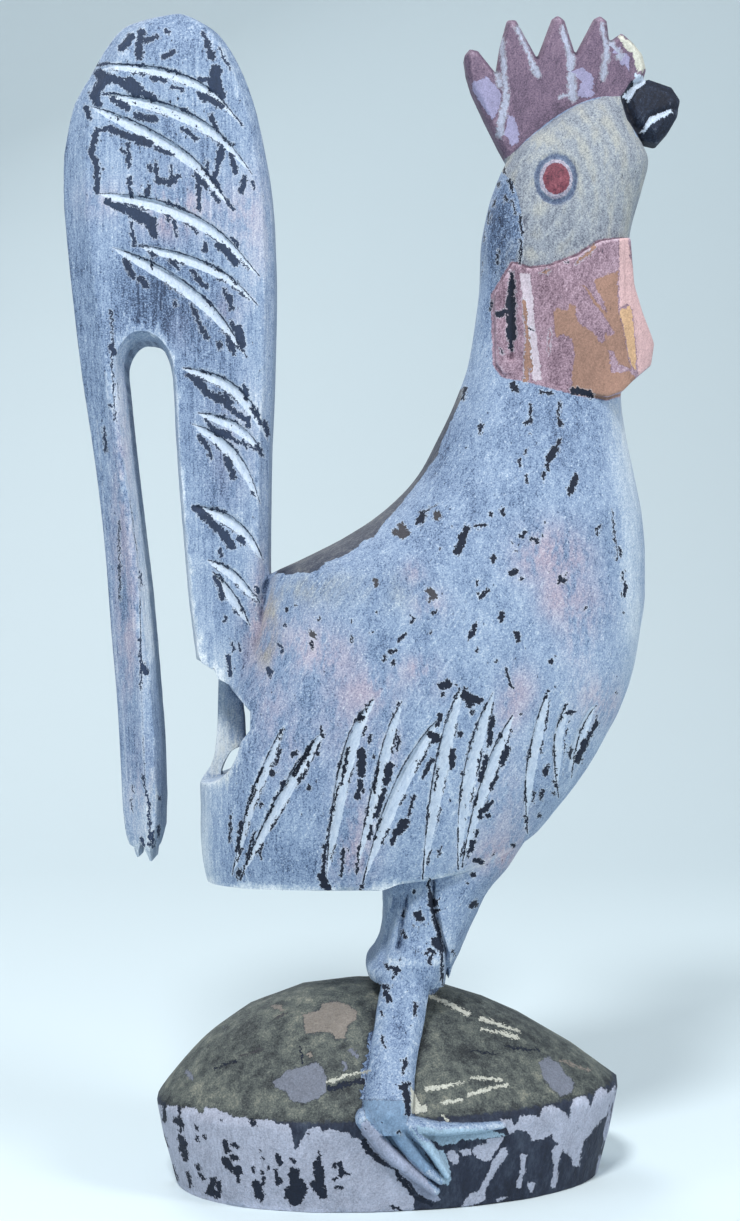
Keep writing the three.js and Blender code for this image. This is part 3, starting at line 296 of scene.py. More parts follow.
# Patches of other colours: closed outlines on the near sheet.
PATCHES = [
    (MAUVE, [(120, 1104), (162.8, 1104.4), (175.5, 1106), (181.1, 1106.8), (196.3, 1107.6), (197.8, 1113.2),
             (202.6, 1112.4), (205, 1106.8), (213.8, 1107.6), (226.6, 1112.4), (236.1, 1117.2), (245.7, 1116.4),
             (252.1, 1123.5), (255.3, 1118.8), (271.2, 1119.6), (277.6, 1123.5), (288.8, 1123.5), (291.9, 1133.1),
             (293.5, 1147.5), (296.7, 1149.1), (299.9, 1142.7), (307.9, 1128.3), (319.1, 1126.7), (322.2, 1130.7),
             (330.2, 1128.3), (341.4, 1131.5), (349.4, 1132.3), (351, 1137.1), (358.9, 1137.9), (362.1, 1141.1),
             (367, 1152), (374, 1160), (385, 1166), (396, 1169), (400, 1175), (405, 1180), (411, 1187),
             (415, 1199), (413, 1212), (400, 1240), (120, 1240)]),
    (MAUVE, [(500.3, 1118.7), (511.5, 1118.7), (515, 1125.6), (520.2, 1115.3), (535.7, 1114.4), (539.1, 1117),
             (542.5, 1107.6), (551.1, 1104.1), (558, 1107.6), (566.6, 1112.7), (569.2, 1119.6), (571, 1105.8),
             (574.4, 1097.2), (583.9, 1095.5), (589, 1098.9), (589.9, 1107.6), (595.9, 1090.3), (601.1, 1086.9),
             (606.3, 1088.6), (608, 1093.8), (615.7, 1083.4), (614.9, 1097.2), (609.7, 1104.1), (608, 1114.4),
             (601.1, 1119.6), (594.2, 1128.2), (589, 1135.1), (583.9, 1140.3), (582.1, 1148.9), (580.4, 1155.8),
             (579.6, 1165.2), (572.7, 1166.1), (571, 1155.8), (564.9, 1152.3), (562.3, 1148.9), (560.6, 1155.8),
             (558, 1166.1), (558, 1179.9), (554.6, 1187.6), (550.3, 1186.8), (552, 1178.2), (553.7, 1166.1),
             (552, 1152.3), (554.6, 1145.4), (558.9, 1143.7), (552.9, 1138.6), (552.9, 1133.4), (542.5, 1138.6),
             (532.2, 1140.3), (529.6, 1133.4), (523.6, 1129.9), (515.8, 1129.1), (513.3, 1133.4), (508.1, 1131.7),
             (505.5, 1126.5)]),
    (MAUVE, [(506.4, 1147.2), (508.1, 1154), (501.2, 1162.7), (492.6, 1176.4), (485.7, 1190.2), (484.8, 1200.5),
             (473.7, 1204.8), (461.6, 1206.6), (466.8, 1197.1), (470.2, 1191.9), (477.1, 1191.9), (482.3, 1183.3),
             (489.2, 1169.5), (494.3, 1157.5), (501.2, 1148.9)]),
    (MAUVE, [(473.7, 1147.2), (480.5, 1143.7), (487.4, 1143.7), (487.4, 1138.6), (503.8, 1135.1), (502.9, 1140.3),
             (494.3, 1152.3), (491.7, 1159.2), (485.7, 1160.9), (478.8, 1158.4), (472.8, 1152.3)]),
    (MAUVE, [(459, 1150.6), (465, 1147.2), (470.2, 1148.9), (471.9, 1154), (463.3, 1154.9)]),
    (MAUVE, [(446.1, 1152.3), (453, 1148.9), (459, 1155.8), (459, 1162.7), (453, 1164.4), (447.8, 1157.5)]),
    (MAUVE, [(520.2, 1153.2), (527, 1153.2), (525.3, 1159.2), (524.5, 1166.1), (525.3, 1173), (521.9, 1176.4),
             (521, 1187.6), (515.8, 1187.6), (517.6, 1178.2), (520.2, 1173), (520.5, 1160.9)]),
    (MAUVE, [(527, 1183.3), (532.2, 1180.7), (535.7, 1183.3), (532.2, 1192.8), (529.6, 1191.9), (528.8, 1186.8)]),
    (MAUVE, [(496, 1198.8), (502.9, 1196.2), (508.1, 1197.1), (497.8, 1201.4)]),
    (TOE_M, [(361.7, 1123.1), (366, 1118.7), (370.3, 1123.9), (385.8, 1138.6), (423.7, 1173.9), (428.9, 1181.6),
             (440.9, 1200.5), (435.8, 1201.4), (419.4, 1195.4), (411.7, 1183.3), (403.1, 1176.4), (395.3, 1167.8),
             (385.8, 1160.9), (377.2, 1154), (370.3, 1147.2), (363.4, 1136.8), (360.9, 1128.2)]),
    (TOE_B, [(362, 1100), (366, 1117), (371.5, 1123.1), (387, 1138.6), (425, 1172.9), (427.3, 1169.5), (430.6, 1167.8),
             (435.8, 1171.3), (440.9, 1183.3), (442.7, 1181.6), (437.5, 1171.3), (432.3, 1164.4), (411.7, 1131.7),
             (405.6, 1123.1), (408.2, 1114.4), (409, 1100)]),
    (TOE_L, [(411.7, 1125.6), (419.4, 1138.6), (434, 1143.7), (437.5, 1148.9), (444.4, 1150.6), (449.5, 1166.1),
             (451.3, 1178.2), (447.8, 1185), (442.7, 1183.3), (438.5, 1171), (428.9, 1155.8), (420, 1142.7),
             (411.4, 1129.7)]),
    (TOE_L, [(416.1, 1124.6), (428.9, 1127.2), (437.5, 1128.9), (449.5, 1128.1), (456.4, 1127.2), (471.9, 1128.9),
             (490.9, 1128.9), (506.4, 1135.1), (497.8, 1136.8), (487.4, 1137.7), (459.9, 1139.3), (456.4, 1142.7),
             (442.7, 1145.2), (436.8, 1142.4), (425.4, 1137.4), (419.3, 1133.8)]),
    (TAN, [(303.1, 1014.3), (319.1, 1010.3), (322.2, 1003.9), (333.4, 1000.7), (347.8, 1003.9), (357.3, 1011.9),
           (355.7, 1018.3), (347, 1026.3), (345.4, 1038.2), (335.8, 1037.4), (331.8, 1032.6), (322.2, 1031),
           (311.1, 1032.6), (304.7, 1033.4), (303.9, 1023.1)]),
    (DUSK, [(272.8, 1082.1), (288.8, 1069.3), (303.1, 1066.1), (315.9, 1061.3), (323.8, 1069.3), (327, 1078.9),
            (325.4, 1091.6), (319.1, 1097.2), (303.1, 1102.8), (293.5, 1101.2), (285.6, 1091.6), (276, 1086.9)]),
    (DUSK, [(539, 1062), (548, 1056), (560, 1064), (566, 1074), (574, 1082), (572, 1092), (560, 1096), (552, 1088),
            (544, 1078)]),
    (CREAM, [(411, 1086), (417, 1096), (421, 1107), (426, 1103), (427, 1111), (416, 1114), (411, 1112)]),
    (SKIN, [(578.8, 282.9), (583.9, 286.3), (590.8, 298.3), (602.9, 313.8), (614.9, 332.8), (611.5, 336.2),
            (604.6, 332.8), (606.3, 339.7), (601.1, 343.1), (592.5, 331), (578.8, 322.4), (575.3, 313.8),
            (577, 305.2), (570.2, 303.5), (566.7, 310.4), (556.4, 307.8), (552.9, 312.1), (554.7, 325.9),
            (555.5, 336.2), (563.3, 334.5), (571.9, 337.9), (574.5, 353.4), (572.7, 368.9), (571.9, 387.8),
            (576, 404), (621.8, 404), (640, 384), (635.6, 377.5), (629.5, 370.6), (620.1, 372.4), (611.5, 372.4),
            (608, 350), (613.2, 350), (618.3, 363.8), (630.4, 368.9), (625.2, 337.9), (618.3, 305.2),
            (617.5, 286.3), (618.3, 270.8), (602.9, 276), (594.3, 279.4), (596, 288), (604.6, 303.5),
            (607.2, 313.8), (596, 300.1), (587.4, 288)]),
    (ORANGE, [(619.2, 310.4), (629.5, 305.2), (632.1, 309.5), (633.8, 329.3), (636.4, 356.9), (635.6, 370.6),
              (630.4, 363.8), (625.2, 336.2)]),
    # painted highlight: the wattle's front facet painted lighter, as where the light falls on it
    (FACET_HIGHLIGHT, [(620.1, 237), (628, 237), (631, 260.5), (642, 294.9), (652, 320.7), (662, 343.1), (660, 356.9),
             (650, 372), (639, 377.5), (637.3, 360.3), (634.7, 329.3), (632.1, 308.7), (627, 303.5), (619.2, 308.7),
             (619.2, 277.7)]),
    (LILAC, [(472.7, 81.3), (486.3, 76.6), (495.8, 84.5), (501.4, 95.7), (499, 108.5), (492.6, 119.6),
             (486.3, 111.6), (478.3, 98.9), (471.9, 89.3)]),
    (LILAC, [(507, 114.8), (515, 116.4), (518.9, 132.4), (518.1, 141.9), (511.8, 145.9), (507.8, 137.2)]),
    (LILAC, [(584.3, 68.6), (593.1, 75), (593.9, 82.9), (588.3, 97.3), (577.2, 95.7), (581.9, 79.7)]),
    (LILAC, [(612, 52), (620, 46), (630, 56), (629, 66), (620, 64)]),
    (WHITE, [(635.4, 71.8), (642.6, 75), (645.7, 82.9), (636.2, 89.3), (629.8, 102.1), (621.8, 95.7), (633, 86.1)]),
    (CREAM, [(617.8, 35), (621.8, 35), (630, 40), (641, 50), (646, 63.8), (643, 71.8), (637.2, 71.8), (634.8, 60.6),
             (630.8, 52.6), (622.8, 44.7)]),
    (WHITE, [(671.3, 108.5), (648.9, 117), (645.7, 125), (639.5, 132), (643.4, 133), (653.1, 122.2), (660.1, 118.5),
             (672.3, 112.6)]),
    (BONE, [(519, 273), (529.8, 273), (532.8, 294.9), (533.3, 312.1), (536.7, 337.9), (541.9, 379.2), (533, 381),
             (529.3, 346.5), (524.5, 312.1)])]

FACE_LINE = [(480, 150), (505, 159), (536, 132), (562, 113), (578, 104), (604, 96), (622, 96), (626, 99), (623, 102),
             (628, 115), (636, 135.6), (655, 147), (690, 150), (690, 250), (632, 242), (603, 240), (594, 245), (580.5, 258.8),
             (567, 263), (551, 268), (541, 271), (521, 272.5), (522, 268), (524, 230), (519, 201), (513, 182)]
# Inner edge of the bare strip down the back of the neck and the rump.
STRIP_LINE = [(262, 577), (275, 580), (285, 579), (300, 578), (312, 575), (325, 562), (345, 555), (360, 545), (362, 538),
              (372, 540), (384, 522), (398, 507), (418, 482), (430, 465), (438, 455), (447, 420), (455, 405), (459, 392),
              (430, 392), (262, 540)]


# ---- helpers --------------------------------------------------------------------------
def read(rows, key, col=1):
    """Smooth reading of a table of (key, value) rows that never overshoots its rows."""
    t = np.array([r[0] for r in rows], float)
    v = np.array([r[col] for r in rows], float)
    slope = np.diff(v) / np.diff(t)
    m = np.empty(len(t))
    m[0], m[-1] = slope[0], slope[-1]
    a, b = slope[:-1], slope[1:]
    m[1:-1] = np.where(a * b > 0, 2 * a * b / np.where(a * b > 0, a + b, 1), 0)
    key = np.clip(key, t[0], t[-1])
    i = np.clip(np.searchsorted(t, key) - 1, 0, len(t) - 2)
    h = t[i + 1] - t[i]
    s = (key - t[i]) / h
    s2, s3 = s * s, s * s * s
    out = ((2 * s3 - 3 * s2 + 1) * v[i] + (s3 - 2 * s2 + s) * h * m[i]
           + (3 * s2 - 2 * s3) * v[i + 1] + (s3 - s2) * h * m[i + 1])
    return np.asarray(out, np.float32)


def outline(points, x, z):
    """Distance to a closed outline, below zero inside it."""
    p = np.asarray(points, np.float64)
    q = np.roll(p, -1, 0)
    best = np.full(x.shape, 1e9, np.float32)
    inside = np.zeros(x.shape, bool)
    for (x0, z0), (x1, z1) in zip(p, q):
        ex, ez = x1 - x0, z1 - z0
        if ex == 0 and ez == 0:
            continue
        wx, wz = x - np.float32(x0), z - np.float32(z0)
        t = np.clip((wx * np.float32(ex) + wz * np.float32(ez)) / np.float32(ex * ex + ez * ez), 0, 1)
        np.minimum(best, (wx - ex * t) ** 2 + (wz - ez * t) ** 2, out=best)
        if ez:
            inside ^= ((z0 <= z) != (z1 <= z)) & (x < x0 + (z - z0) * (ex / ez))
    return np.where(inside, -1, 1).astype(np.float32) * np.sqrt(best)


def path(points, x, z):
    """Distance to an open line, how far along it (0 to 1) and on which side (+ to its left)."""
    p = np.asarray(points, np.float64)
    length = np.hypot(*np.diff(p, axis=0).T)
    start = np.concatenate([[0], np.cumsum(length)]) / length.sum()
    best = np.full(x.shape, 1e9, np.float32)
    along = np.zeros(x.shape, np.float32)
    side = np.zeros(x.shape, np.float32)
    for k in range(len(p) - 1):
        ex, ez = p[k + 1] - p[k]
        wx, wz = x - np.float32(p[k][0]), z - np.float32(p[k][1])
        t = np.clip((wx * ex + wz * ez) / (ex * ex + ez * ez), 0, 1)
        d = (wx - ex * t) ** 2 + (wz - ez * t) ** 2
        near = d < best
        best = np.where(near, d, best)
        along = np.where(near, start[k] + t * length[k] / length.sum(), along)
        side = np.where(near, (ex * wz - ez * wx) / math.hypot(ex, ez), side)
    return np.sqrt(best), along, side


def bend(points, count=14):
    """Points on a smooth curve through the given ones."""
    p = np.asarray(points, float)
    k = np.concatenate([[0], np.cumsum(np.hypot(*np.diff(p, axis=0).T) ** 0.5)])
    at = np.linspace(0, k[-1], count)
    return np.stack([read(list(zip(k, p[:, 0])), at), read(list(zip(k, p[:, 1])), at)], 1)


def noise(x, z, size, seed, stretch=1.0):
    """Smooth noise from -1 to 1 over the plane."""
    grid = np.random.default_rng(seed).uniform(-1, 1, (256, 256)).astype(np.float32)
    a, b = x / size + 57.3, z / (size * stretch) + 31.7
    i, j = np.floor(a).astype(int), np.floor(b).astype(int)
    s, t = a - i, b - j
    s, t = s * s * (3 - 2 * s), t * t * (3 - 2 * t)
    g = lambda m, n: grid[(i + m) % 256, (j + n) % 256]
    return ((g(0, 0) * (1 - s) + g(1, 0) * s) * (1 - t) + (g(0, 1) * (1 - s) + g(1, 1) * s) * t).astype(np.float32)


def join(a, b, k=0.0):
    """The nearer of two fields, with a fillet of size k."""
    low = np.minimum(a, b)
    return low if k <= 0 else low - np.square(np.maximum(k - np.abs(a - b), 0)) * np.float32(0.25 / k)


def cut(a, b, k=0.0):
    """What both fields hold, with an edge rounded by k."""
    return -join(-a, -b, k)


def step(a, lo, hi):
    t = np.clip((a - lo) / (hi - lo), 0, 1)
    return t * t * (3 - 2 * t)


# ---- the carving as maps over x and z --------------------------------------------------
xs = np.arange(-124.4, 126.0, STEP, dtype=np.float32)
zs = np.arange(-2.0, 464.0, STEP, dtype=np.float32)
ys = np.arange(-67.2, 67.3, STEP, dtype=np.float32)
X, Z = np.meshgrid(xs, zs)


def carve(gouges, x, z, far, slant):
    """Depth of the gouges: a steep wall on one side, a long slope on the other."""
    depth = np.zeros(x.shape, np.float32)
    lit = np.full(x.shape, -9.0, np.float32)
    for k, (line, width) in enumerate(gouges):
        pts = np.asarray(line, float)
        if far:
            pts = pts + np.random.default_rng(40 + k).uniform(-1.6, 1.6, (1, 2))
        pts = bend(pts)
        lo, hi = pts.min(0) - 6, pts.max(0) + 6
        here = (x > lo[0]) & (x < hi[0]) & (z > lo[1]) & (z < hi[1])
        if not here.any():
            continue
        d, u, side = path(pts, x[here], z[here])
        q = np.clip(side, -d, d) * np.where(np.abs(side) > 1e-6, d / np.maximum(np.abs(side), 1e-6), 1) * slant
        w = width * np.maximum(0.02, np.sin(3.14 * np.clip(u, 0, 1) ** 0.8)) ** 0.75
        deep = 0.5 * w * (0.8 if far else 1.0)
        q0 = 0.30 * w                                    # the floor lies near the steep side
        rise = np.where(q < q0, (q + 0.55 * w) / (q0 + 0.55 * w), (0.5 * w - q) / (0.5 * w - q0))
        rise = np.clip(rise, 0, 1)
        depth[here] = np.maximum(depth[here], deep * rise)
        lit[here] = np.maximum(lit[here], np.minimum(q + 0.55 * w, q0 + 0.08 * w - q))
    return depth, lit


def tail_map(x, z, far):
    l, r = read(TAIL_LEFT, z), read(TAIL_RIGHT, z)
    drop = np.clip((z - 438) / 25, 0, 0.95)
    k = np.sqrt(1 - drop * drop)
    h, e1, e2 = TAIL["half"] * k, TAIL["left_edge"] * k, TAIL["right_edge"] * k
    fl = np.clip((x - l) / TAIL["left"], 0, 1)
    fr = np.clip((r - x) / TAIL["right"], 0, 1)
    half = join(e1 + (h - e1) * fl, e2 + (h - e2) * fr, 1.0) + 0.6 * np.minimum(fl, fr)
    ds = outline(slot_outline(), x, z)
    wide = np.where(x < -86, 2.6, 1.7)
    broken = step(x, -70, -62) * (z < 215)
    half = np.where(broken > 0.5, half, join(half, 9.5 + 7.5 * np.maximum(ds, 0) / wide, 0.6))
    return half, ds


def slot_outline():
    """The slot's outline with its arched head run through by a curve."""
    lead = [i for i, p in enumerate(SLOT) if p == (-93.6, 283.6)][0]
    tail = [i for i, p in enumerate(SLOT) if p == (-76.8, 293.5)][0]
    arch = [tuple(p) for p in bend(SLOT[lead:tail + 1], 40)]
    return SLOT[:lead] + arch + SLOT[tail + 1:]


def tail_outline():
    z = np.concatenate([np.linspace(125, 440, 64), np.linspace(442, 461.3, 24)])
    left = list(zip(read(TAIL_LEFT, z), z))
    right = list(zip(read(TAIL_RIGHT, z), z))
    return left + right[::-1]


def body_outline():
    z = np.linspace(117.5, 428, 90)
    back = list(zip(read(BACK, z), z))
    zf = np.linspace(428, 139, 84)
    front = list(zip(read(FRONT, zf), zf))
    return back + front + [p for p in WING_EDGE[::-1] if p[1] < 139]


def body_relief(x, z, far):
    """How much the knife took off body, neck and head."""
    cuts, lit = carve(WING_GOUGES, x, z, far, -1)
    seed = 200 if far else 100
    out = cuts + 0.30 * noise(x, z, 16, seed + 1, 1.5) + 0.16 * noise(x, z, 6, seed + 2, 1.6)
    out = out + 0.07 * noise(x, z, 2.2, seed + 3, 2.5)
    # the eye: a ring cut round a low boss
    e = np.hypot(x - EYE["x"], (z - EYE["z"]) / EYE["tall"])
    out = out + 1.1 * np.exp(-((e - EYE["groove"]) / 1.0) ** 2)
    out = out - 1.3 * np.sqrt(np.clip(1 - (e / (EYE["boss"] + 0.7)) ** 2, 0, 1))
    # flat down the front of the neck and breast, with a soft arris
    arris = read([(117, 70), (150, 80), (190, 96), (240, 101.5), (280, 96), (310, 91.5), (345, 92)], z)
    out = out + 0.12 * np.clip(x - arris, 0, 12) * (1 - step(z, 300, 345))
    # a shallow arc over the top of the wing
    d, u, s = path(bend([(-60, 195), (-20, 208), (20, 216), (45, 235)]), x, z)
    out = out + 0.35 * np.exp(-(d / 1.1) ** 2) * (0 if far else 1)
    return out, lit


def thigh_relief(x, z, far):
    out = 0.25 * noise(x, z, 8, 301 + far) + 0.1 * noise(x, z, 3, 303 + far)
    for line, deep, wide in (([(14.5, 115), (11, 94)], 1.3, 0.9), ([(10.5, 114), (5, 88)], 1.2, 0.9),
                             ([(24.2, 122), (24.6, 111), (27, 100), (29.3, 92), (30, 78)], 1.6, 0.7)):
        d, u, s = path(line, x, z)
        out = out + deep * np.exp(-(d / wide) ** 2)
    return out


Dt = outline(tail_outline(), X, Z)
ends = [((u - U0) * (EYE_Y - 12) / UNIT, EYE_Z + (V0 - v) * (EYE_Y - 12) / UNIT) for u, v in SPLINTERS]
Dt = cut(Dt, -outline(ends, X, Z), 0.3)
Ht, Ds = tail_map(X, Z, 0)
tail_grad = np.hypot(*np.gradient(Ht, STEP))
Gt = (1 / np.sqrt(1 + np.minimum(tail_grad, 2) ** 2)).astype(np.float32)
Db = outline(body_outline(), X, Z)
Dn = outline(NOTCH, X, Z)
Dc = outline(COMB_LINE, X, Z)
Dk = outline(BEAK_LINE, X, Z)
Dw = outline(WATTLE_LINE, X, Z)
back_z, front_z = read(BACK, zs), read(FRONT, zs)
wide_z, square_z = read(WIDTH, zs), read(SQUARE, zs)
mid_z, half_z = (back_z + front_z) / 2, (front_z - back_z) / 2
S = np.abs((X - mid_z[:, None]) / half_z[:, None])
Sn = S ** square_z[:, None]
Sn1 = S ** (square_z[:, None] - 1) / half_z[:, None]
under = outline(WING_EDGE + [(90, 90), (-90, 90), (-90, 117.5)], X, Z)
relief = []
for far in (0, 1):
    rt, lit_t = carve(TAIL_GOUGES, X, Z, far, 1)
    seed = 500 + 50 * far
    rt = rt + 0.22 * noise(X, Z, 12, seed, 2.5) + 0.12 * noise(X, Z, 3.5, seed + 1, 4) + 0.05 * noise(X, Z, 1.6, seed + 2, 5)
    # a split down the middle of the hanging feather
    for line, deep in (([(-98.5, 302), (-96.2, 285), (-93, 262), (-90, 235), (-88, 212), (-86.5, 180), (-86, 150),
                         (-85.8, 128)], 0.7),
                       ([(-109, 300), (-103, 250), (-99, 215), (-95, 175), (-92.5, 128)], 0.35)):
        d, u, s = path(bend(line), X, Z)
        rt = rt + deep * np.exp(-(d / 0.7) ** 2)
    rb, lit_b = body_relief(X, Z, far)
    relief.append((rt, rb, thigh_relief(X, Z, far)))


def block(rows, x, z, a, power):
    """Upright block with a rounded-square section that follows a table of z, back, front, half width."""
    t = [r[0] for r in rows]
    b, f, h = (read(rows, z, c) for c in (1, 2, 3))
    s = np.abs((2 * x - b - f) / (f - b))
    r = (s ** power + (a / h) ** power) ** (1 / power)
    side = (r - 1) * np.minimum((f - b) / 2, h) * 0.95
    return cut(side, np.maximum(t[0] - z, z - t[-1]), 0.8)


low = zs < 84.0
xl, zl = X[low], Z[low]
turn = math.radians(BASE["turn"])
rim_k = np.clip(zl / BASE["rim_z"], 0, 1)
rim_k = np.where(rim_k < 0.5, rim_k / 0.5 * 0.6, 0.6 + (rim_k - 0.5) / 0.5 * 0.4)
a_l = BASE["bottom"][0] + (BASE["rim"][0] - BASE["bottom"][0]) * rim_k
b_l = BASE["bottom"][1] + (BASE["rim"][1] - BASE["bottom"][1]) * rim_k
toe_paths = []
for line, w0, w1 in TOES:
    d, u, s = path(bend(line, 10), xl, zl)
    toe_paths.append((d, u, w0 + (w1 - w0) * u))
wall_rough = 0.5 * noise(xl, zl, 9, 71, 2.0) + 0.25 * noise(xl, zl, 3, 72, 2.5)
dome_rough = 0.6 * noise(xl, zl, 14, 73, 0.6)


def mound(y):
    """Field of the mound and, for the toes, how far a point stands out of its side wall."""
    n = BASE["square"]
    dx, dy = xl - BASE["cx"], y - BASE["cy"]
    u = dx * math.cos(turn) + dy * math.sin(turn)
    v = -dx * math.sin(turn) + dy * math.cos(turn)
    r = (np.abs(u / a_l) ** n + np.abs(v / b_l) ** n) ** (1 / n)
    size = np.hypot(u, v) / np.maximum(r, 1e-3)
    wall = (r - 1) * size * 0.93 + wall_rough * 0.5
    rr = np.minimum((np.abs(u / BASE["rim"][0]) ** n + np.abs(v / BASE["rim"][1]) ** n) ** (1 / n), 1.2)
    c = (u / BASE["rim"][0]) / np.maximum(np.hypot(u / BASE["rim"][0], v / BASE["rim"][1]), 1e-3)
    rim = BASE["rim_z"] + BASE["tilt"] * c
    top = BASE["rim_z"] + BASE["rise"]
    dome = top + (rim - top) * rr ** (BASE["power"] - BASE["skew"] * c)
    rough = 0.35 * noise(xl + 0 * y, np.full_like(zl, y), 11, 74) + 0.2 * noise(xl, np.full_like(zl, y), 4, 75)
    return cut(cut(wall, (zl - dome - rough) * 0.78, 1.6), -zl, 0.6), wall - wall_rough * 0.5


def plane(y):
    """Field of the whole carving in one upright plane."""
    far = int(y > 0)
    rt, rb, rh = relief[far]
    a = abs(float(y))
    # body, neck and head
    t = a / wide_z
    tn, tn1 = t ** square_z, t ** (square_z - 1) / wide_z
    total = Sn + tn[:, None]
    r = total ** (1 / square_z)[:, None]
    grad = np.sqrt(Sn1 ** 2 + (tn1 ** 2)[:, None]) * total ** (1 / square_z - 1)[:, None]
    f = (r - 1) / np.maximum(grad, 0.012)
    f = np.minimum(f, 30) + rb * np.float32(1.0 if a > 6 else a / 6)
    f = cut(f, Z - 428, 3.0)
    f = cut(f, -under, 0.7)
    f = cut(f, 110 - Z, 0)
    f = cut(f, -Dn, 0.7)
    # tail
    if a < 22:
        ft = cut(cut(Dt, -Ds, 0.5), (a - (Ht - rt)) * Gt, 0.9)
        f = join(f, ft, 2.0)
    if STRUT_Y[0] - 2 < y < STRUT_Y[1] + 2:
        b, g = read(STRUT, Z, 1), read(STRUT, Z, 2)
        fs = cut(cut(b - X, X - g, 0.8), max(STRUT_Y[0] - y, y - STRUT_Y[1]) + 0.12 * (X + 61) * (y < 4), 0.8)
        fs = cut(fs, np.maximum(150 - Z, Z - 203), 0)
        f = join(f, fs, 0.8)
    # thigh and underside
    if a < 40:
        rows = (Z > 76) & (Z < 154) & (X > -6) & (X < 76)
        fh = block(THIGH, X[rows], Z[rows], a, 3.0) + rh[rows]
        f[rows] = join(f[rows], fh, 0.8)
        rows = (Z > 56) & (Z < 88) & (X > 4) & (X < 34)
        f[rows] = join(f[rows], block(KEEL, X[rows], Z[rows], a, 3.0), 0.8)
    # comb and beak
    if a < 11:
        half = COMB_EDGE + (COMB_HALF - COMB_EDGE) * np.clip(-Dc / COMB_BEVEL, 0, 1)
        f = join(f, cut(Dc, (a - half) * 0.6, 0.7), 0.7)
        half = BEAK_HALF - BEAK_BEVEL + BEAK_BEVEL * np.clip(-Dk / BEAK_BEVEL, 0, 1)
        d, u, s = mouth_path
        half = half - 1.2 * np.exp(-(d / 0.9) ** 2)
        f = join(f, cut(Dk, (a - half) * 0.72, 0.8), 0.8)
    # wattle
    if a < 30:
        rows = (Z > 300) & (Z < 376) & (X > 40) & (X < 118)
        xw, zw = X[rows], Z[rows]
        fw = block(WATTLE, xw, zw, a, 2.4)
        fw = fw + 0.10 * np.clip(xw - 99.5, 0, 9) + wattle_cut[rows]
        fw = cut(fw, Dw[rows], 1.0)
        f[rows] = join(f[rows], fw, 0.5)
    # mound, legs and feet
    fm, out = mound(y)
    b, g, o = (read(SHANK, zl, c) for c in (1, 2, 3))
    leg = cut(cut(b - xl, xl - g, 0.6), a - o, 0.8)
    leg = cut(leg, ((b - xl) * 4 + (a - o + 4) * 4.5) / 6.02, 0.8)
    leg = cut(leg, ((xl - g) * 5 + (a - o + 5) * 4) / 6.4, 0.8)
    leg = cut(leg + shank_cut, o - SHANK_DEPTH - a, 0)
    leg = cut(leg, np.maximum(31 - zl, zl - 83), 0)
    fm = join(fm, leg, 0.8)
    for d, u, w in toe_paths:
        up = 5.0 * (1 - 0.45 * u) * (1 - 0.45 * step(d / w, 0.4, 1.0))
        toe = cut(d - w, np.maximum(out - up, -4 - out), 0.7)
        fm = join(fm, toe, 0.6)
    f[low] = join(f[low], fm, 0.8)
    return f


mouth_path = path(MOUTH, X, Z)
d1, _, _ = path([(59.5, 357), (64.5, 314)], X, Z)
d2, _, _ = path([(55.4, 358), (55.6, 330), (54.8, 322)], X, Z)
d3, _, _ = path([(99.5, 370), (100, 340), (104, 316)], X, Z)
wattle_cut = (0.5 * np.exp(-(d1 / 1.0) ** 2) + 1.5 * np.exp(-(d2 / 1.2) ** 2) + 0.5 * np.exp(-(d3 / 0.8) ** 2)
              + 0.25 * noise(X, Z, 9, 81, 1.5) + 0.1 * noise(X, Z, 3, 82)).astype(np.float32)
shank_cut = (0.25 * noise(xl, zl, 6, 83, 1.6) + 0.1 * noise(xl, zl, 2.4, 84)).astype(np.float32)

field = np.empty((len(ys), len(zs), len(xs)), np.float32)
for j, y in enumerate(ys):
    field[j] = plane(float(y))


# ---- field to mesh ---------------------------------------------------------------------
def skin(f):
    """Closed mesh of the field's zero surface: one corner in each cell that the surface crosses."""
    ny, nz, nx = f.shape
    inside = f < 0
    cells, points, quads = [], [], []

    def cell(j, k, i):
        return (j * nz + k) * nx + i

    for axis in range(3):
        lo = [slice(None)] * 3
        hi = [slice(None)] * 3
        lo[axis], hi[axis] = slice(0, -1), slice(1, None)
        j, k, i = np.nonzero(inside[tuple(lo)] != inside[tuple(hi)])
        d = [0, 0, 0]
        d[axis] = 1
        f0, f1 = f[j, k, i], f[j + d[0], k + d[1], i + d[2]]
        t = f0 / (f0 - f1)
        p = np.stack([xs[i] + STEP * t * d[2], ys[j] + STEP * t * d[0], zs[k] + STEP * t * d[1]], 1)
        if axis == 2:      # along x: the cells round the edge, turning from y to z
            ring = [cell(j - 1, k - 1, i), cell(j, k - 1, i), cell(j, k, i), cell(j - 1, k, i)]
        elif axis == 0:    # along y: turning from z to x
            ring = [cell(j, k - 1, i - 1), cell(j, k, i - 1), cell(j, k, i), cell(j, k - 1, i)]
        else:              # along z: turning from x to y
            ring = [cell(j - 1, k, i - 1), cell(j - 1, k, i), cell(j, k, i), cell(j, k, i - 1)]
        ring = np.stack(ring, 1)
        ring = np.where((f0 < 0)[:, None], ring, ring[:, ::-1])
        quads.append(ring)
        cells.append(ring.ravel())
        points.append(np.repeat(p, 4, 0))
    quads, cells, points = np.concatenate(quads), np.concatenate(cells), np.concatenate(points)
    ids, back = np.unique(cells, return_inverse=True)
    n = np.bincount(back)
    v = np.stack([np.bincount(back, points[:, c]) / n for c in range(3)], 1)
    return v, back.reshape(quads.shape)


verts, quads = skin(field)
del field
verts = verts.astype(np.float64)
verts[:, 0] -= SHIFT_X
verts /= 1000.0


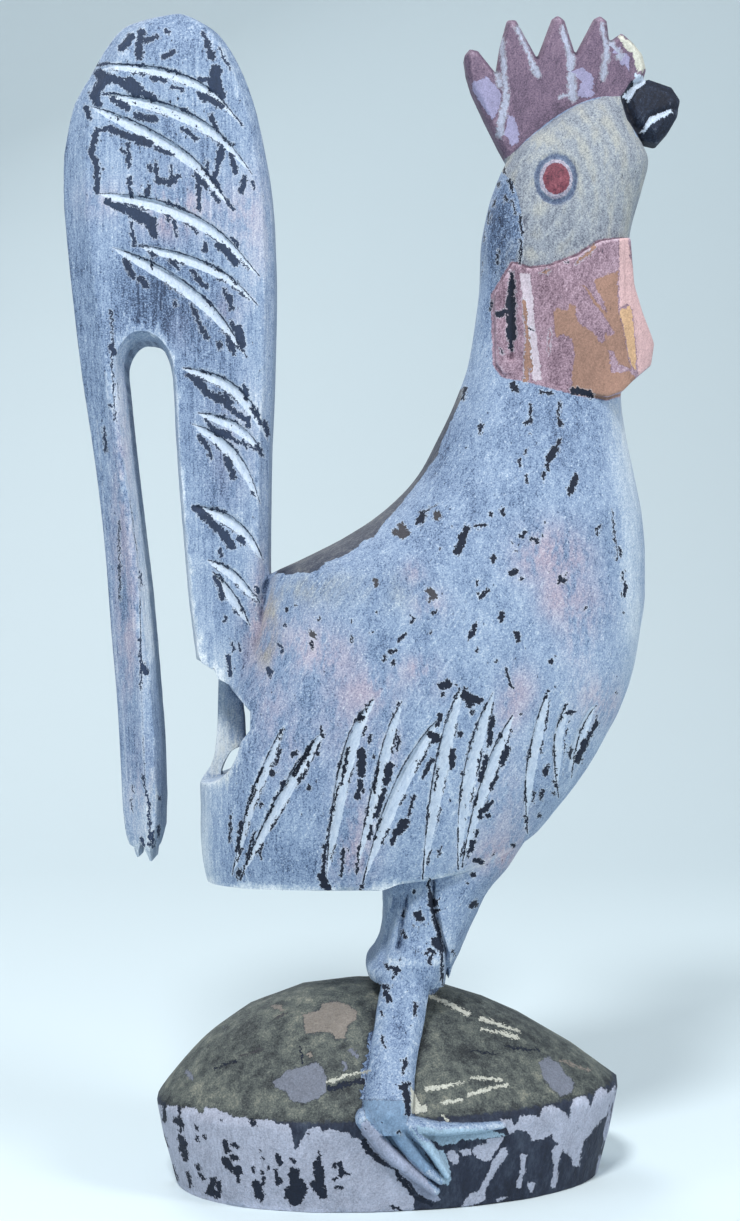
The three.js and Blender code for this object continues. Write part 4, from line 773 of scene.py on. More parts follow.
def new_mesh(name, v, q):
    me = bpy.data.meshes.new(name)
    me.vertices.add(len(v))
    me.vertices.foreach_set("co", v.astype(np.float32).ravel())
    me.loops.add(q.size)
    me.loops.foreach_set("vertex_index", q.astype(np.int32).ravel())
    me.polygons.add(len(q))
    me.polygons.foreach_set("loop_start", np.arange(0, q.size, q.shape[1], dtype=np.int32))
    me.update(calc_edges=True)
    return me


raw = new_mesh("rooster_raw", verts, quads)
holder = bpy.data.objects.new("rooster_raw", raw)
bpy.context.scene.collection.objects.link(holder)
thin = holder.modifiers.new("thin", "DECIMATE")
thin.ratio = min(1.0, FACES / (2 * len(quads)))
thin.use_collapse_triangulate = True
fine_x, fine_y, fine_z = verts[:, 0] * 1000 + SHIFT_X, verts[:, 1] * 1000, verts[:, 2] * 1000
weight = np.full(len(verts), 0.25)
for table, slant, zone in ((TAIL_GOUGES, 1, fine_x < -36), (WING_GOUGES, -1, fine_x > -60)):
    m = np.nonzero(zone & (fine_y < 0))[0]
    weight[m] = np.maximum(weight[m], np.clip(carve(table, fine_x[m], fine_z[m], 0, slant)[1] + 2.2, 0, 1))
weight[(fine_z > 300) & (fine_y < 6) & (fine_x > 30)] = 0.7
weight[(fine_z < 42) & (fine_y < -30) & (fine_x > -8) & (fine_x < 56)] = 1.0
weight[(fine_z < 76) & (np.abs(fine_x - 8) > 14) & (fine_y > 0)] = 0.0
group = holder.vertex_groups.new(name="fine")
levels = np.round(weight * 8).astype(int)
for level in range(1, 9):
    rows = np.nonzero(levels == level)[0]
    if len(rows):
        group.add(rows.tolist(), level / 8, "REPLACE")
thin.vertex_group = "fine"
thin.invert_vertex_group = True
thin.vertex_group_factor = 2.0
graph = bpy.context.evaluated_depsgraph_get()
mesh = bpy.data.meshes.new_from_object(holder.evaluated_get(graph))
bpy.data.objects.remove(holder)
bpy.data.meshes.remove(raw)
mesh.name = "painted_rooster"
rooster = bpy.data.objects.new("painted_rooster", mesh)
bpy.context.scene.collection.objects.link(rooster)
mesh.shade_smooth()
mesh.set_sharp_from_angle(angle=math.radians(48))

# ---- where each paint lies, kept on the mesh --------------------------------------------
nv, nf = len(mesh.vertices), len(mesh.polygons)
co = np.empty(nv * 3, np.float32)
mesh.vertices.foreach_get("co", co)
co = co.reshape(-1, 3) * 1000
px, py, pz = co[:, 0] + SHIFT_X, co[:, 1], co[:, 2]
tri = np.empty(nf * 3, np.int32)
mesh.polygons.foreach_get("vertices", tri)
tri = tri.reshape(-1, 3)
fn = np.empty(nf * 3, np.float32)
mesh.polygons.foreach_get("normal", fn)
fn = fn.reshape(-1, 3)


def sheet(x, y, z):
    away = EYE_Y - np.abs(y)
    return U0 + x * UNIT / away, V0 - (z - EYE_Z) * UNIT / away


U, V = sheet(px, py, pz)
cu, cv = U[tri].mean(1), V[tri].mean(1)
cy = py[tri].mean(1)
cz = pz[tri].mean(1)


def keep(name, values, where="POINT", kind="FLOAT"):
    a = mesh.attributes.new(name, kind, where)
    a.data.foreach_set("value" if kind == "FLOAT" else "vector", np.ascontiguousarray(values, np.float32).ravel())


keep("sheet", np.stack([U, V, np.zeros(nv)], 1), kind="FLOAT_VECTOR")


def blobs(rows):
    out = np.zeros(nv, np.float32)
    for u, v, ru, rv, amount in rows:
        out += amount * np.exp(-0.5 * (((U - u) / ru) ** 2 + ((V - v) / rv) ** 2))
    return out


# mound: which part of the mesh belongs to it, its top and its side wall
in_leg = (px > read(SHANK, pz, 1) - 0.8) & (px < read(SHANK, pz, 2) + 0.8) & (np.abs(py) > read(SHANK, pz, 3) - 9)
n = BASE["square"]
du, dv = px - BASE["cx"], py - BASE["cy"]
mu = du * math.cos(turn) + dv * math.sin(turn)
mv = -du * math.sin(turn) + dv * math.cos(turn)
mr = (np.abs(mu / BASE["rim"][0]) ** n + np.abs(mv / BASE["rim"][1]) ** n) ** (1 / n)
mc = (mu / BASE["rim"][0]) / np.maximum(np.hypot(mu / BASE["rim"][0], mv / BASE["rim"][1]), 1e-3)
rim_v = BASE["rim_z"] + BASE["tilt"] * mc
top_v = BASE["rim_z"] + BASE["rise"]
dome_v = top_v + (rim_v - top_v) * np.minimum(mr, 1) ** (BASE["power"] - BASE["skew"] * mc)
over_dome = pz - dome_v                       # height over the mound's top
on_mound = np.minimum(1.4 - over_dome, 3.0)
toe_v = np.full(nv, 9.0, np.float32)
for line, w0, w1 in TOES:
    d, u, s = path(bend(line, 10), px, pz)
    toe_v = np.minimum(toe_v, d - (w0 + (w1 - w0) * u) - 0.2)
on_leg = np.where(in_leg & (pz > 30), 2.0, -2.0)
keep("mound", np.where(in_leg & (pz > 33), -2.0, on_mound))
keep("wall", rim_v - 0.5 - pz)                # above zero on the side wall
keep("toe", np.where(pz < 40, -toe_v, -9.0))
# how bare the side wall is: the near wall is mostly bare towards the front
keep("bare", step(-py, 5, 25))

keep("face", -outline(FACE_LINE, U, V) * np.where(pz > 340, 1, 0) - np.where(pz > 340, 0, 20))
keep("comb", np.minimum(-outline([(p[0], p[1]) for p in COMB_LINE], px, pz) + 1.6, (8.6 - np.abs(py)) * 2))
keep("beak", -outline(BEAK_LINE, px, pz) + 0.9)
wattle_half = 29.5
keep("wattle", np.minimum(-outline(WATTLE_LINE, px, pz) + 1.2, np.abs(py) - 14.5 + 0.15 * (px - 50).clip(0, 60) * 1.4))
keep("eye", np.where(pz > 340, np.hypot(px - EYE["x"], (pz - EYE["z"]) / EYE["tall"]), 99))
keep("strip", np.maximum(-outline(STRIP_LINE, U, V), np.where((np.abs(py) < 12) & (px < read(BACK, pz) + 5), 4.0, -9.0))
     - np.where((px < -37) | (pz > 312) | (pz < 238), 20, 0))

on_wattle_v = np.minimum(-outline(WATTLE_LINE, px, pz) + 0.9, 3)
keep("allow", np.where((pz > 296) & (pz < 372) & (px > 40), on_wattle_v, 3.0))

# hollows and edges: how far each corner lies below or above its neighbours
ends = np.empty(len(mesh.edges) * 2, np.int32)
mesh.edges.foreach_get("vertices", ends)
ends = ends.reshape(-1, 2)
both = np.concatenate([ends, ends[:, ::-1]])
count = np.maximum(np.bincount(both[:, 0], minlength=nv), 1)
vn = np.empty(nv * 3, np.float32)
mesh.vertices.foreach_get("normal", vn)
vn = vn.reshape(-1, 3)


def around(values):
    return np.bincount(both[:, 0], values[both[:, 1]], minlength=nv) / count


mean_co = np.stack([around(co[:, c]) for c in range(3)], 1)
reach = np.maximum(around(np.ones(nv)), 1)
span = np.bincount(both[:, 0], np.linalg.norm(co[both[:, 0]] - co[both[:, 1]], axis=1), minlength=nv) / count
cavity = ((mean_co - co) * vn).sum(1) / np.maximum(span, 0.2)
for _ in range(3):
    cavity = 0.5 * cavity + 0.5 * around(cavity)
keep("cavity", cavity)

lit = np.full(nv, -9.0, np.float32)
for far in (0, 1):
    rows = (py > 0) == bool(far)
    for table, slant, zone in ((TAIL_GOUGES, 1, px < -36), (WING_GOUGES, -1, px > -60)):
        m = rows & zone
        d, l = carve(table, px[m], pz[m], far, slant)
        lit[m] = np.maximum(lit[m], l)
keep("lit", lit)

# Tone of the paint, from blobs on the near sheet: mostly paint rubbed thin or left thick, but the bright blobs down the
# breast's right edge, on the strut behind the rump and on the skirt's left facet are painted highlight.
tone_and_painted_light = blobs([
    (95, 60, 30, 50, 0.02), (90, 300, 14, 120, 0.0), (150, 300, 34, 50, -0.22), (230, 120, 26, 60, 0.05),
    (255, 260, 14, 100, 0.16), (250, 450, 16, 120, 0.12), (215, 440, 22, 80, -0.10), (110, 200, 24, 60, 0.08),
    (180, 210, 40, 30, 0.10), (108, 450, 9, 200, 0.04), (148, 560, 6, 160, 0.25), (195, 560, 10, 120, 0.14),
    (120, 700, 10, 90, 0.08), (140, 820, 16, 30, 0.25), (215, 660, 20, 16, 0.14), (222, 720, 9, 45, 0.45),
    (205, 840, 6, 60, 0.40), (500, 225, 14, 46, -0.22), (560, 430, 40, 50, -0.04), (625, 430, 12, 40, 0.30),
    (630, 520, 9, 70, 0.24), (635, 620, 9, 70, 0.24), (600, 670, 30, 50, 0.16), (520, 780, 60, 60, 0.12),
    (440, 620, 60, 60, 0.02), (330, 640, 60, 40, 0.05), (400, 800, 60, 60, 0.02), (520, 860, 40, 30, 0.04),
    (420, 930, 26, 40, 0.02), (460, 930, 18, 40, 0.0), (388, 930, 8, 40, 0.10), (400, 1050, 20, 60, -0.02),
    (480, 380, 16, 60, 0.08)])
edge_low = outline(WING_EDGE + [(90, 90), (-90, 90), (-90, 117.5)], px, pz)
tone_and_painted_light = tone_and_painted_light + 0.28 * np.exp(-((edge_low - 0.3) / 0.9) ** 2) * (np.abs(py) > 30) * (px < 74)
slot_edge = outline(slot_outline(), px, pz)
# painted highlight on the narrow bevel round the slot, over paint worn pale on its edge
tone_and_painted_light = tone_and_painted_light + 0.26 * step(-slot_edge, -3.0, -2.2) * (px < -38) * (pz > 205) * (np.abs(py) > 8)
keep("tail", step(px, -34, -42))
keep("outlined", np.where((pz < 90) & (pz > 36), 1.0, 0.0))
tone_and_painted_light = tone_and_painted_light - 0.03 * step(px, -38, -44)
keep("tone_and_painted_light", tone_and_painted_light)
pink = blobs([
    (180, 205, 26, 20, 0.9), (165, 225, 14, 10, 0.5), (100, 200, 16, 12, 0.5), (240, 215, 14, 20, 0.5),
    (258, 240, 10, 60, 0.35), (186, 330, 16, 14, 0.2), (228, 310, 10, 14, 0.5), (232, 440, 18, 40, 0.35),
    (122, 460, 7, 50, 0.6), (128, 620, 9, 60, 0.8), (118, 540, 8, 30, 0.3), (140, 790, 9, 30, 0.5),
    (262, 600, 8, 30, 0.8), (255, 630, 10, 14, 0.6), (300, 640, 26, 22, 0.5), (330, 655, 26, 14, 0.6),
    (370, 690, 22, 14, 0.75), (345, 720, 20, 30, 0.5), (355, 830, 16, 30, 0.7), (350, 860, 14, 14, 0.5),
    (388, 745, 10, 14, 0.7), (418, 668, 12, 9, 0.9), (430, 605, 12, 10, 0.7), (414, 572, 8, 8, 0.7),
    (440, 690, 14, 10, 0.2), (550, 545, 22, 16, 0.85), (570, 560, 16, 12, 0.6), (530, 566, 14, 12, 0.5),
    (576, 600, 22, 18, 0.7), (552, 595, 9, 16, 0.6), (580, 640, 12, 22, 0.5), (600, 700, 16, 16, 0.8),
    (520, 690, 12, 16, 0.8), (508, 715, 10, 12, 0.6), (505, 820, 20, 40, 0.45), (500, 856, 20, 12, 0.8),
    (290, 745, 16, 26, 0.35), (270, 700, 14, 30, 0.5), (250, 660, 9, 14, 0.3), (520, 930, 30, 20, 0.0)])
keep("pink", pink)
ochre = blobs([
    (270, 610, 6, 26, 1.0), (266, 650, 8, 14, 0.8), (232, 735, 7, 30, 0.7), (300, 590, 20, 10, 0.5),
    (330, 585, 16, 14, 0.4), (222, 765, 8, 10, 0.6), (386, 590, 22, 14, 0.4), (155, 800, 5, 20, 0.5),
    (545, 260, 40, 20, 0.7), (540, 200, 18, 50, 0.4), (600, 240, 20, 20, 0.3), (625, 400, 9, 30, 0.4)])
keep("ochre", ochre)
chips = blobs([
    (150, 60, 45, 30, 0.6), (130, 110, 40, 30, 0.8), (215, 110, 30, 40, 0.6), (150, 170, 60, 40, 0.5),
    (215, 300, 35, 60, 0.4), (235, 420, 25, 60, 0.5), (230, 640, 20, 40, 0.7), (130, 560, 20, 160, 0.2),
    (260, 800, 50, 60, 0.4), (380, 820, 60, 60, 0.4), (500, 780, 40, 80, 0.35), (425, 950, 20, 40, 0.9),
    (400, 1080, 20, 40, 0.5), (480, 560, 50, 60, 0.2), (515, 300, 8, 40, 0.3), (500, 230, 10, 60, 0.9),
    (340, 640, 60, 60, 0.1), (500, 470, 60, 60, 0.1)])
chips = np.where(py > 0, 0.35 + 0.25 * noise(px, pz, 30, 91), chips)
keep("chips", chips)
fade = step(noise(px, pz, 26, 92) + 0.4 * noise(px, pz, 10, 93), -0.3, 0.8)
keep("grime", fade)

# Flakes of paint: each face keeps the two that are nearest to it, so their edges stay sharp.
near_marks = [(*m, GREY) for m in TAIL_FLAKES] + [(*m, GREY, 0.35) for m in FEATHER_LINES] + [(*m, DARK) for m in BODY_FLAKES + WALL_FLAKES + WATTLE_FLAKES]
near_marks += [(*m, DARK) for m in NAPE_FLAKES] + WATTLE_EDGE + MOUND_SLIVERS + COMB_EDGES
near_marks += [(401, 526, 405, 533, 4.2, BROWN), (395, 532, 403, 536, 3, BROWN), (429, 590, 435, 596, 3.2, BROWN),
               (437, 514, 437, 517, 3.6, BROWN), (435, 596, 430, 600, 2.2, BROWN), (311, 632, 314, 635, 2.4, BROWN),
               (375, 580, 376, 584, 2.2, BROWN)]
# a broken dark line down the steep side of each gouge: painted shadow of the steep wall
for table, slant, depth in ((TAIL_GOUGES, 1, 17), (WING_GOUGES, -1, 45)):
    for k, (line, width) in enumerate(table):
        rng = np.random.default_rng(600 + k + 50 * (slant < 0))
        pts = bend(line, 15)
        along = np.gradient(pts, axis=0)
        along /= np.hypot(*along.T)[:, None]
        left = np.stack([-along[:, 1], along[:, 0]], 1) * slant
        u = np.linspace(0, 1, 15)
        w = width * np.maximum(0.02, np.sin(3.14 * u ** 0.8)) ** 0.75
        edge = pts + left * (0.43 * w)[:, None]
        eu, ev = sheet(edge[:, 0], np.full(15, -float(depth)), edge[:, 1])
        for a in range(0, 14):
            kind = GREY if slant > 0 else DARK
            near_marks.append((eu[a], ev[a], eu[a + 1], ev[a + 1], rng.uniform(0.1, 0.75), kind, 0.25))
            if rng.random() < 0.3:
                near_marks.append((eu[a], ev[a], eu[a + 1], ev[a + 1], rng.uniform(0.7, 1.5), kind))
        # flakes of paint lost along the gouge's low edge
        low_edge = pts - left * (0.56 * w)[:, None]
        eu, ev = sheet(low_edge[:, 0], np.full(15, -float(depth)), low_edge[:, 1])
        for a in range(1, 13):
            if rng.random() < 0.5:
                near_marks.append((eu[a], ev[a], eu[a + 1], ev[a + 1], rng.uniform(-0.2, 1.2), kind))

rng = np.random.default_rng(7)
far_marks = []
for line, low_r, high_r, count, kind in (
        (((80, 40), (255, 300)), 1.5, 4.5, 60, GREY), (((185, 360), (262, 650)), 1.2, 3.6, 26, GREY),
        (((100, 330), (150, 800)), 0.8, 2.0, 22, GREY), (((215, 690), (620, 880)), 1.2, 3.6, 80, DARK),
        (((430, 400), (620, 690)), 1.0, 3.4, 50, DARK), (((180, 1120), (600, 1200)), 1.6, 5.5, 60, DARK),
        (((370, 890), (450, 1110)), 1.0, 3.0, 24, DARK), (((500, 270), (600, 390)), 1.0, 2.6, 8, DARK)):
    (a, b), (c, d) = line
    for _ in range(count):
        u, v = rng.uniform(a, c), rng.uniform(b, d)
        length, lean = rng.uniform(0, 16) ** 1.0, rng.normal(0, 0.18)
        far_marks.append((u, v, u + length * lean, v + length, rng.uniform(low_r, high_r) * rng.uniform(0.6, 1), kind))


def nearest(marks, rows):
    m = np.asarray([tuple(k) + (1.0,) * (7 - len(k)) for k in marks], np.float32)
    a, b = m[:, 0:2], m[:, 2:4]
    e = b - a
    ee = np.maximum((e ** 2).sum(1), 1e-6)
    first, second = np.zeros(len(rows), int), np.zeros(len(rows), int)
    for s in range(0, len(rows), 6000):
        r = rows[s:s + 6000]
        wx, wy = cu[r, None] - a[None, :, 0], cv[r, None] - a[None, :, 1]
        t = np.clip((wx * e[None, :, 0] + wy * e[None, :, 1]) / ee[None], 0, 1)
        d = np.hypot(wx - e[None, :, 0] * t, wy - e[None, :, 1] * t) - m[None, :, 4]
        i = d.argmin(1)
        first[s:s + 6000] = i
        d[np.arange(len(r)), i] = 1e9
        second[s:s + 6000] = d.argmin(1)
    return m[first], m[second]


m1 = np.tile(np.array([-999, -999, -999, -999, 0, 0, 1], np.float32), (nf, 1))
m2 = m1.copy()
facing = np.abs(fn[:, 1]) > 0.15
# the inner faces of the legs and what hangs behind the near side carry none
deep_in = np.abs(cy) < 4
for far, marks in ((0, near_marks), (1, far_marks)):
    rows = np.nonzero(facing & ~deep_in & ((cy > 0) == bool(far)) & ((fn[:, 1] > 0) == bool(far)))[0]
    m1[rows], m2[rows] = nearest(marks, rows)
zero = np.zeros(nf, np.float32)
for name, m in (("mark1", m1), ("mark2", m2)):
    keep(name + "a", np.stack([m[:, 0], m[:, 1], zero], 1), "FACE", "FLOAT_VECTOR")
    keep(name + "b", np.stack([m[:, 2], m[:, 3], zero], 1), "FACE", "FLOAT_VECTOR")
    keep(name + "k", np.stack([m[:, 4], (m[:, 5] + 0.5) / KINDS, m[:, 6]], 1), "FACE", "FLOAT_VECTOR")

# Patches: each face keeps the line of the nearest patch's nearest side.
best = np.full(nf, 1e9, np.float32)
line_data = np.tile(np.array([0, 0, -999], np.float32), (nf, 1))
line_data2 = line_data.copy()
line_turn = np.zeros(nf, np.float32)
line_kind = np.zeros(nf, np.float32)
for kind, points in PATCHES:
    p = np.asarray(points, float)
    if 0.5 * np.sum(p[:, 0] * np.roll(p[:, 1], -1) - np.roll(p[:, 0], -1) * p[:, 1]) < 0:
        p = p[::-1]
    q = np.roll(p, -1, 0)
    box = (cu > p[:, 0].min() - 14) & (cu < p[:, 0].max() + 14) & (cv > p[:, 1].min() - 14) & (cv < p[:, 1].max() + 14) & (cy < 2)
    if p[0, 1] < 500:
        box &= facing
    r = np.nonzero(box)[0]
    if not len(r):
        continue
    sd = outline(p, cu[r], cv[r])
    e = q - p
    length = np.maximum(np.hypot(e[:, 0], e[:, 1]), 1e-6)
    normal = np.stack([e[:, 1], -e[:, 0]], 1) / length[:, None]      # points out of the patch
    lines = np.concatenate([normal, (normal * p).sum(1)[:, None]], 1)
    wx, wy = cu[r, None] - p[None, :, 0], cv[r, None] - p[None, :, 1]
    t = np.clip((wx * e[None, :, 0] + wy * e[None, :, 1]) / length[None] ** 2, 0, 1)
    d = np.hypot(wx - e[None, :, 0] * t, wy - e[None, :, 1] * t)
    i = d.argmin(1)
    here = d[np.arange(len(r)), i]
    ti = t[np.arange(len(r)), i]
    other = np.where(ti > 0.5, (i + 1) % len(p), (i - 1) % len(p))
    a, b = np.where(ti > 0.5, i, other), np.where(ti > 0.5, other, i)
    convex = e[a, 0] * e[b, 1] - e[a, 1] * e[b, 0] > 0
    rank = np.where(sd < 0, np.minimum(here, 30) * 0.4, here)
    take = rank < best[r]
    best[r[take]] = rank[take]
    line_data[r[take]] = lines[i[take]]
    line_data2[r[take]] = lines[other[take]]
    line_turn[r[take]] = convex[take]
    line_kind[r[take]] = kind
far_off = best > 13
line_data[far_off] = (0, 0, -999)
line_data2[far_off] = (0, 0, -999)
keep("edge", line_data, "FACE", "FLOAT_VECTOR")
keep("edge2", line_data2, "FACE", "FLOAT_VECTOR")
keep("edge_turn", line_turn, "FACE")
keep("edge_kind", (line_kind + 0.5) / KINDS, "FACE")


# ---- paint ------------------------------------------------------------------------------
def tint(r, g, b):
    lin = [(c / 255 / 12.92 if c / 255 <= 0.04045 else ((c / 255 + 0.055) / 1.055) ** 2.4) for c in (r, g, b)]
    return (*lin, 1.0)


class Mix:
    """Short way to write a shader's nodes."""

    def __init__(self, name):
        self.mat = bpy.data.materials.new(name)
        self.mat.use_nodes = True
        self.tree = self.mat.node_tree
        self.tree.nodes.clear()

    def node(self, kind, **props):
        n = self.tree.nodes.new(kind)
        for k, v in props.items():
            setattr(n, k, v)
        return n

    def put(self, socket, value):
        if isinstance(value, bpy.types.NodeSocket):
            self.tree.links.new(value, socket)
        else:
            socket.default_value = value

    def math(self, op, a, b=0.0, c=0.0, clamp=False):
        n = self.node("ShaderNodeMath", operation=op, use_clamp=clamp)
        for s, v in zip(n.inputs, (a, b, c)):
            self.put(s, v)
        return n.outputs[0]

    def vec(self, op, a, b=(0, 0, 0), scale=None):
        n = self.node("ShaderNodeVectorMath", operation=op)
        self.put(n.inputs[0], a)
        if op != "LENGTH":
            self.put(n.inputs[1], b)
        if scale is not None:
            self.put(n.inputs["Scale"], scale)
        return n.outputs["Value"] if op in ("LENGTH", "DOT_PRODUCT", "DISTANCE") else n.outputs["Vector"]

    def attr(self, name, out="Fac"):
        n = self.node("ShaderNodeAttribute", attribute_name=name)
        return n.outputs[out]

    def noise(self, vector, scale, detail=3.0, rough=0.55, out="Fac"):
        n = self.node("ShaderNodeTexNoise")
        self.put(n.inputs["Vector"], vector)
        n.inputs["Scale"].default_value = scale
        n.inputs["Detail"].default_value = detail
        n.inputs["Roughness"].default_value = rough
        return n.outputs["Fac" if out == "Fac" else "Color"]

    def ramp(self, value, lo, hi, a=0.0, b=1.0, smooth=True):
        n = self.node("ShaderNodeMapRange", interpolation_type="SMOOTHSTEP" if smooth else "LINEAR", clamp=True)
        self.put(n.inputs["Value"], value)
        n.inputs["From Min"].default_value, n.inputs["From Max"].default_value = lo, hi
        n.inputs["To Min"].default_value, n.inputs["To Max"].default_value = a, b
        return n.outputs["Result"]

    def blend(self, fac, a, b, mode="MIX"):
        n = self.node("ShaderNodeMix", data_type="RGBA", blend_type=mode)
        self.put(n.inputs["Factor"], fac)
        cols = [s for s in n.inputs if s.type == "RGBA"]
        self.put(cols[0], a)
        self.put(cols[1], b)
        return next(s for s in n.outputs if s.type == "RGBA")

    def colours(self, value, stops, interpolation="LINEAR"):
        n = self.node("ShaderNodeValToRGB")
        n.color_ramp.interpolation = interpolation
        el = n.color_ramp.elements
        while len(el) < len(stops):
            el.new(0.5)
        for e, (pos, col) in zip(el, stops):
            e.position = pos
            e.color = tint(*col)
        self.put(n.inputs["Fac"], value)
        return n.outputs["Color"]


def paint():
    m = Mix("worn_paint")
    coords = m.node("ShaderNodeTexCoord").outputs["Object"]
    P = m.vec("SCALE", coords, scale=1000.0)                       # millimetres
    stretch = m.vec("MULTIPLY", P, (1.0, 1.0, 0.40))
    grain_p = m.vec("MULTIPLY", P, (1.0, 1.0, 0.05))
    big = m.noise(P, 1 / 40, 4, 0.6)
    mid = m.noise(stretch, 1 / 8, 4, 0.65)
    fine = m.noise(stretch, 1 / 1.5, 3, 0.75)
    speck = m.noise(P, 1 / 0.62, 2, 0.75)
    grain = m.noise(grain_p, 1 / 1.1, 3, 0.7)
    # knife and brush marks that run down and back over the body
    turned = m.node("ShaderNodeMapping", vector_type="POINT")
    m.put(turned.inputs["Vector"], P)
    turned.inputs["Rotation"].default_value = (0, math.radians(-36), 0)
    scratch_p = m.vec("MULTIPLY", turned.outputs[0], (1.0, 1.0, 0.07))
    scratch = m.noise(scratch_p, 1 / 0.9, 2, 0.7)
    tone_and_painted_light = m.attr("tone_and_painted_light")
    cavity = m.attr("cavity")
    tail = m.attr("tail")
    hollow_shade = m.ramp(m.math("ADD", cavity, m.math("MULTIPLY", m.math("SUBTRACT", mid, 0.5), 0.10)), 0.03, 0.16)
    ridge_highlight = m.ramp(m.math("ADD", m.math("MULTIPLY", cavity, -1.0), m.math("MULTIPLY", m.math("SUBTRACT", fine, 0.5), 0.16)), 0.05, 0.15)
    # ragged edges for everything painted
    wob = m.vec("SUBTRACT", m.noise(P, 1 / 1.9, 3, 0.7, out="Color"), (0.5, 0.5, 0.5))
    wob2 = m.vec("SUBTRACT", m.noise(m.vec("MULTIPLY", P, (1.0, 1.0, 0.45)), 1 / 0.7, 2, 0.7, out="Color"), (0.5, 0.5, 0.5))
    warp = m.vec("ADD", m.vec("MULTIPLY", wob, (11.0, 11.0, 0.0)), m.vec("MULTIPLY", wob2, (3.2, 5.0, 0.0)))   # sheet units
    slight = m.vec("ADD", m.vec("MULTIPLY", wob, (7.0, 7.0, 0.0)), m.vec("MULTIPLY", wob2, (3.0, 4.6, 0.0)))
    rag = m.math("MULTIPLY", m.math("SUBTRACT", m.noise(P, 1 / 2.2, 3, 0.7), 0.5), 3.4)   # millimetres

    # body paint: whitish, rubbed thin, cool grey where it is thinnest, with painted highlight from the tone blobs and
    # on ridges, and painted shade in hollows
    line = m.math("ADD", m.math("MULTIPLY", grain, tail), m.math("MULTIPLY", scratch, m.math("SUBTRACT", 1.0, tail)))
    t = m.math("ADD", 0.33, tone_and_painted_light)
    t = m.math("ADD", t, m.math("MULTIPLY", m.math("SUBTRACT", big, 0.5), 0.34))
    t = m.math("ADD", t, m.math("MULTIPLY", m.math("SUBTRACT", mid, 0.5), 0.55))
    t = m.math("ADD", t, m.math("MULTIPLY", m.math("SUBTRACT", fine, 0.5), 0.55))
    t = m.math("ADD", t, m.math("MULTIPLY", m.math("SUBTRACT", line, 0.5), m.math("ADD", 0.30, m.math("MULTIPLY", tail, 0.30))))
    t = m.math("ADD", t, m.math("MULTIPLY", m.math("SUBTRACT", speck, 0.5), 1.15))
    # painted shade in hollows and painted highlight on ridges
    t = m.math("ADD", t, m.math("MULTIPLY", hollow_shade, -0.30))
    t = m.math("ADD", t, m.math("MULTIPLY", ridge_highlight, 0.26))
    body = m.colours(t, [(0.0, (40, 54, 78)), (0.12, (78, 98, 128)), (0.32, (118, 139, 168)), (0.52, (146, 164, 187)), (0.74, (176, 190, 204)), (1.0, (214, 222, 228))])
    pinkness = m.math("MULTIPLY", m.attr("pink"), m.ramp(m.math("ADD", mid, m.math("MULTIPLY", fine, 0.5)), 0.58, 0.86), clamp=True)
    body = m.blend(m.math("MULTIPLY", pinkness, 0.8), body, m.colours(t, [(0.1, (108, 102, 122)), (0.42, (162, 148, 162)), (0.85, (202, 190, 198))]))
    ochreness = m.math("MULTIPLY", m.attr("ochre"), m.ramp(m.math("ADD", mid, m.math("MULTIPLY", line, 0.5)), 0.58, 0.95), clamp=True)
    body = m.blend(m.math("MULTIPLY", ochreness, 0.8), body, m.colours(t, [(0.1, (78, 76, 70)), (0.45, (138, 136, 124)), (0.85, (188, 184, 160))]))
    # worn to dark wood in pinholes and hairlines
    pin = m.ramp(m.math("ADD", m.math("MULTIPLY", speck, 0.5), m.math("MULTIPLY", line, 0.5)), 0.335, 0.30)
    body = m.blend(m.math("MULTIPLY", pin, 0.75), body, tint(48, 58, 80))

    fleck = m.ramp(m.math("ADD", m.math("MULTIPLY", speck, 0.6), m.math("MULTIPLY", line, 0.4)), 0.60, 0.66)
    body = m.blend(m.math("MULTIPLY", fleck, 0.55), body, tint(202, 212, 222))

    # bright slopes of the gouges: white paint in the cut, lightened as painted highlight on the slope
    lit = m.math("ADD", m.attr("lit"), m.math("MULTIPLY", rag, 0.5))
    lit_mask = m.ramp(lit, 0.0, 0.22)
    w = m.math("ADD", 0.20, m.math("ADD", m.math("MULTIPLY", fine, 0.35), m.math("MULTIPLY", line, 0.35)))
    w = m.math("ADD", w, m.math("MULTIPLY", m.math("SUBTRACT", speck, 0.5), 0.3))
    white = m.colours(w, [(0.25, (124, 146, 172)), (0.5, (172, 188, 207)), (0.8, (212, 222, 230))])
    body = m.blend(m.math("MULTIPLY", lit_mask, 0.9), body, white)

    # the bare strip down the back
    strip = m.ramp(m.math("ADD", m.attr("strip"), rag), -0.3, 0.4)
    bare = m.colours(m.math("ADD", mid, m.math("MULTIPLY", m.math("SUBTRACT", grain, 0.5), 0.8)), [(0.25, (30, 36, 52)), (0.5, (62, 68, 82)), (0.75, (104, 106, 108))])
    body = m.blend(strip, body, bare)

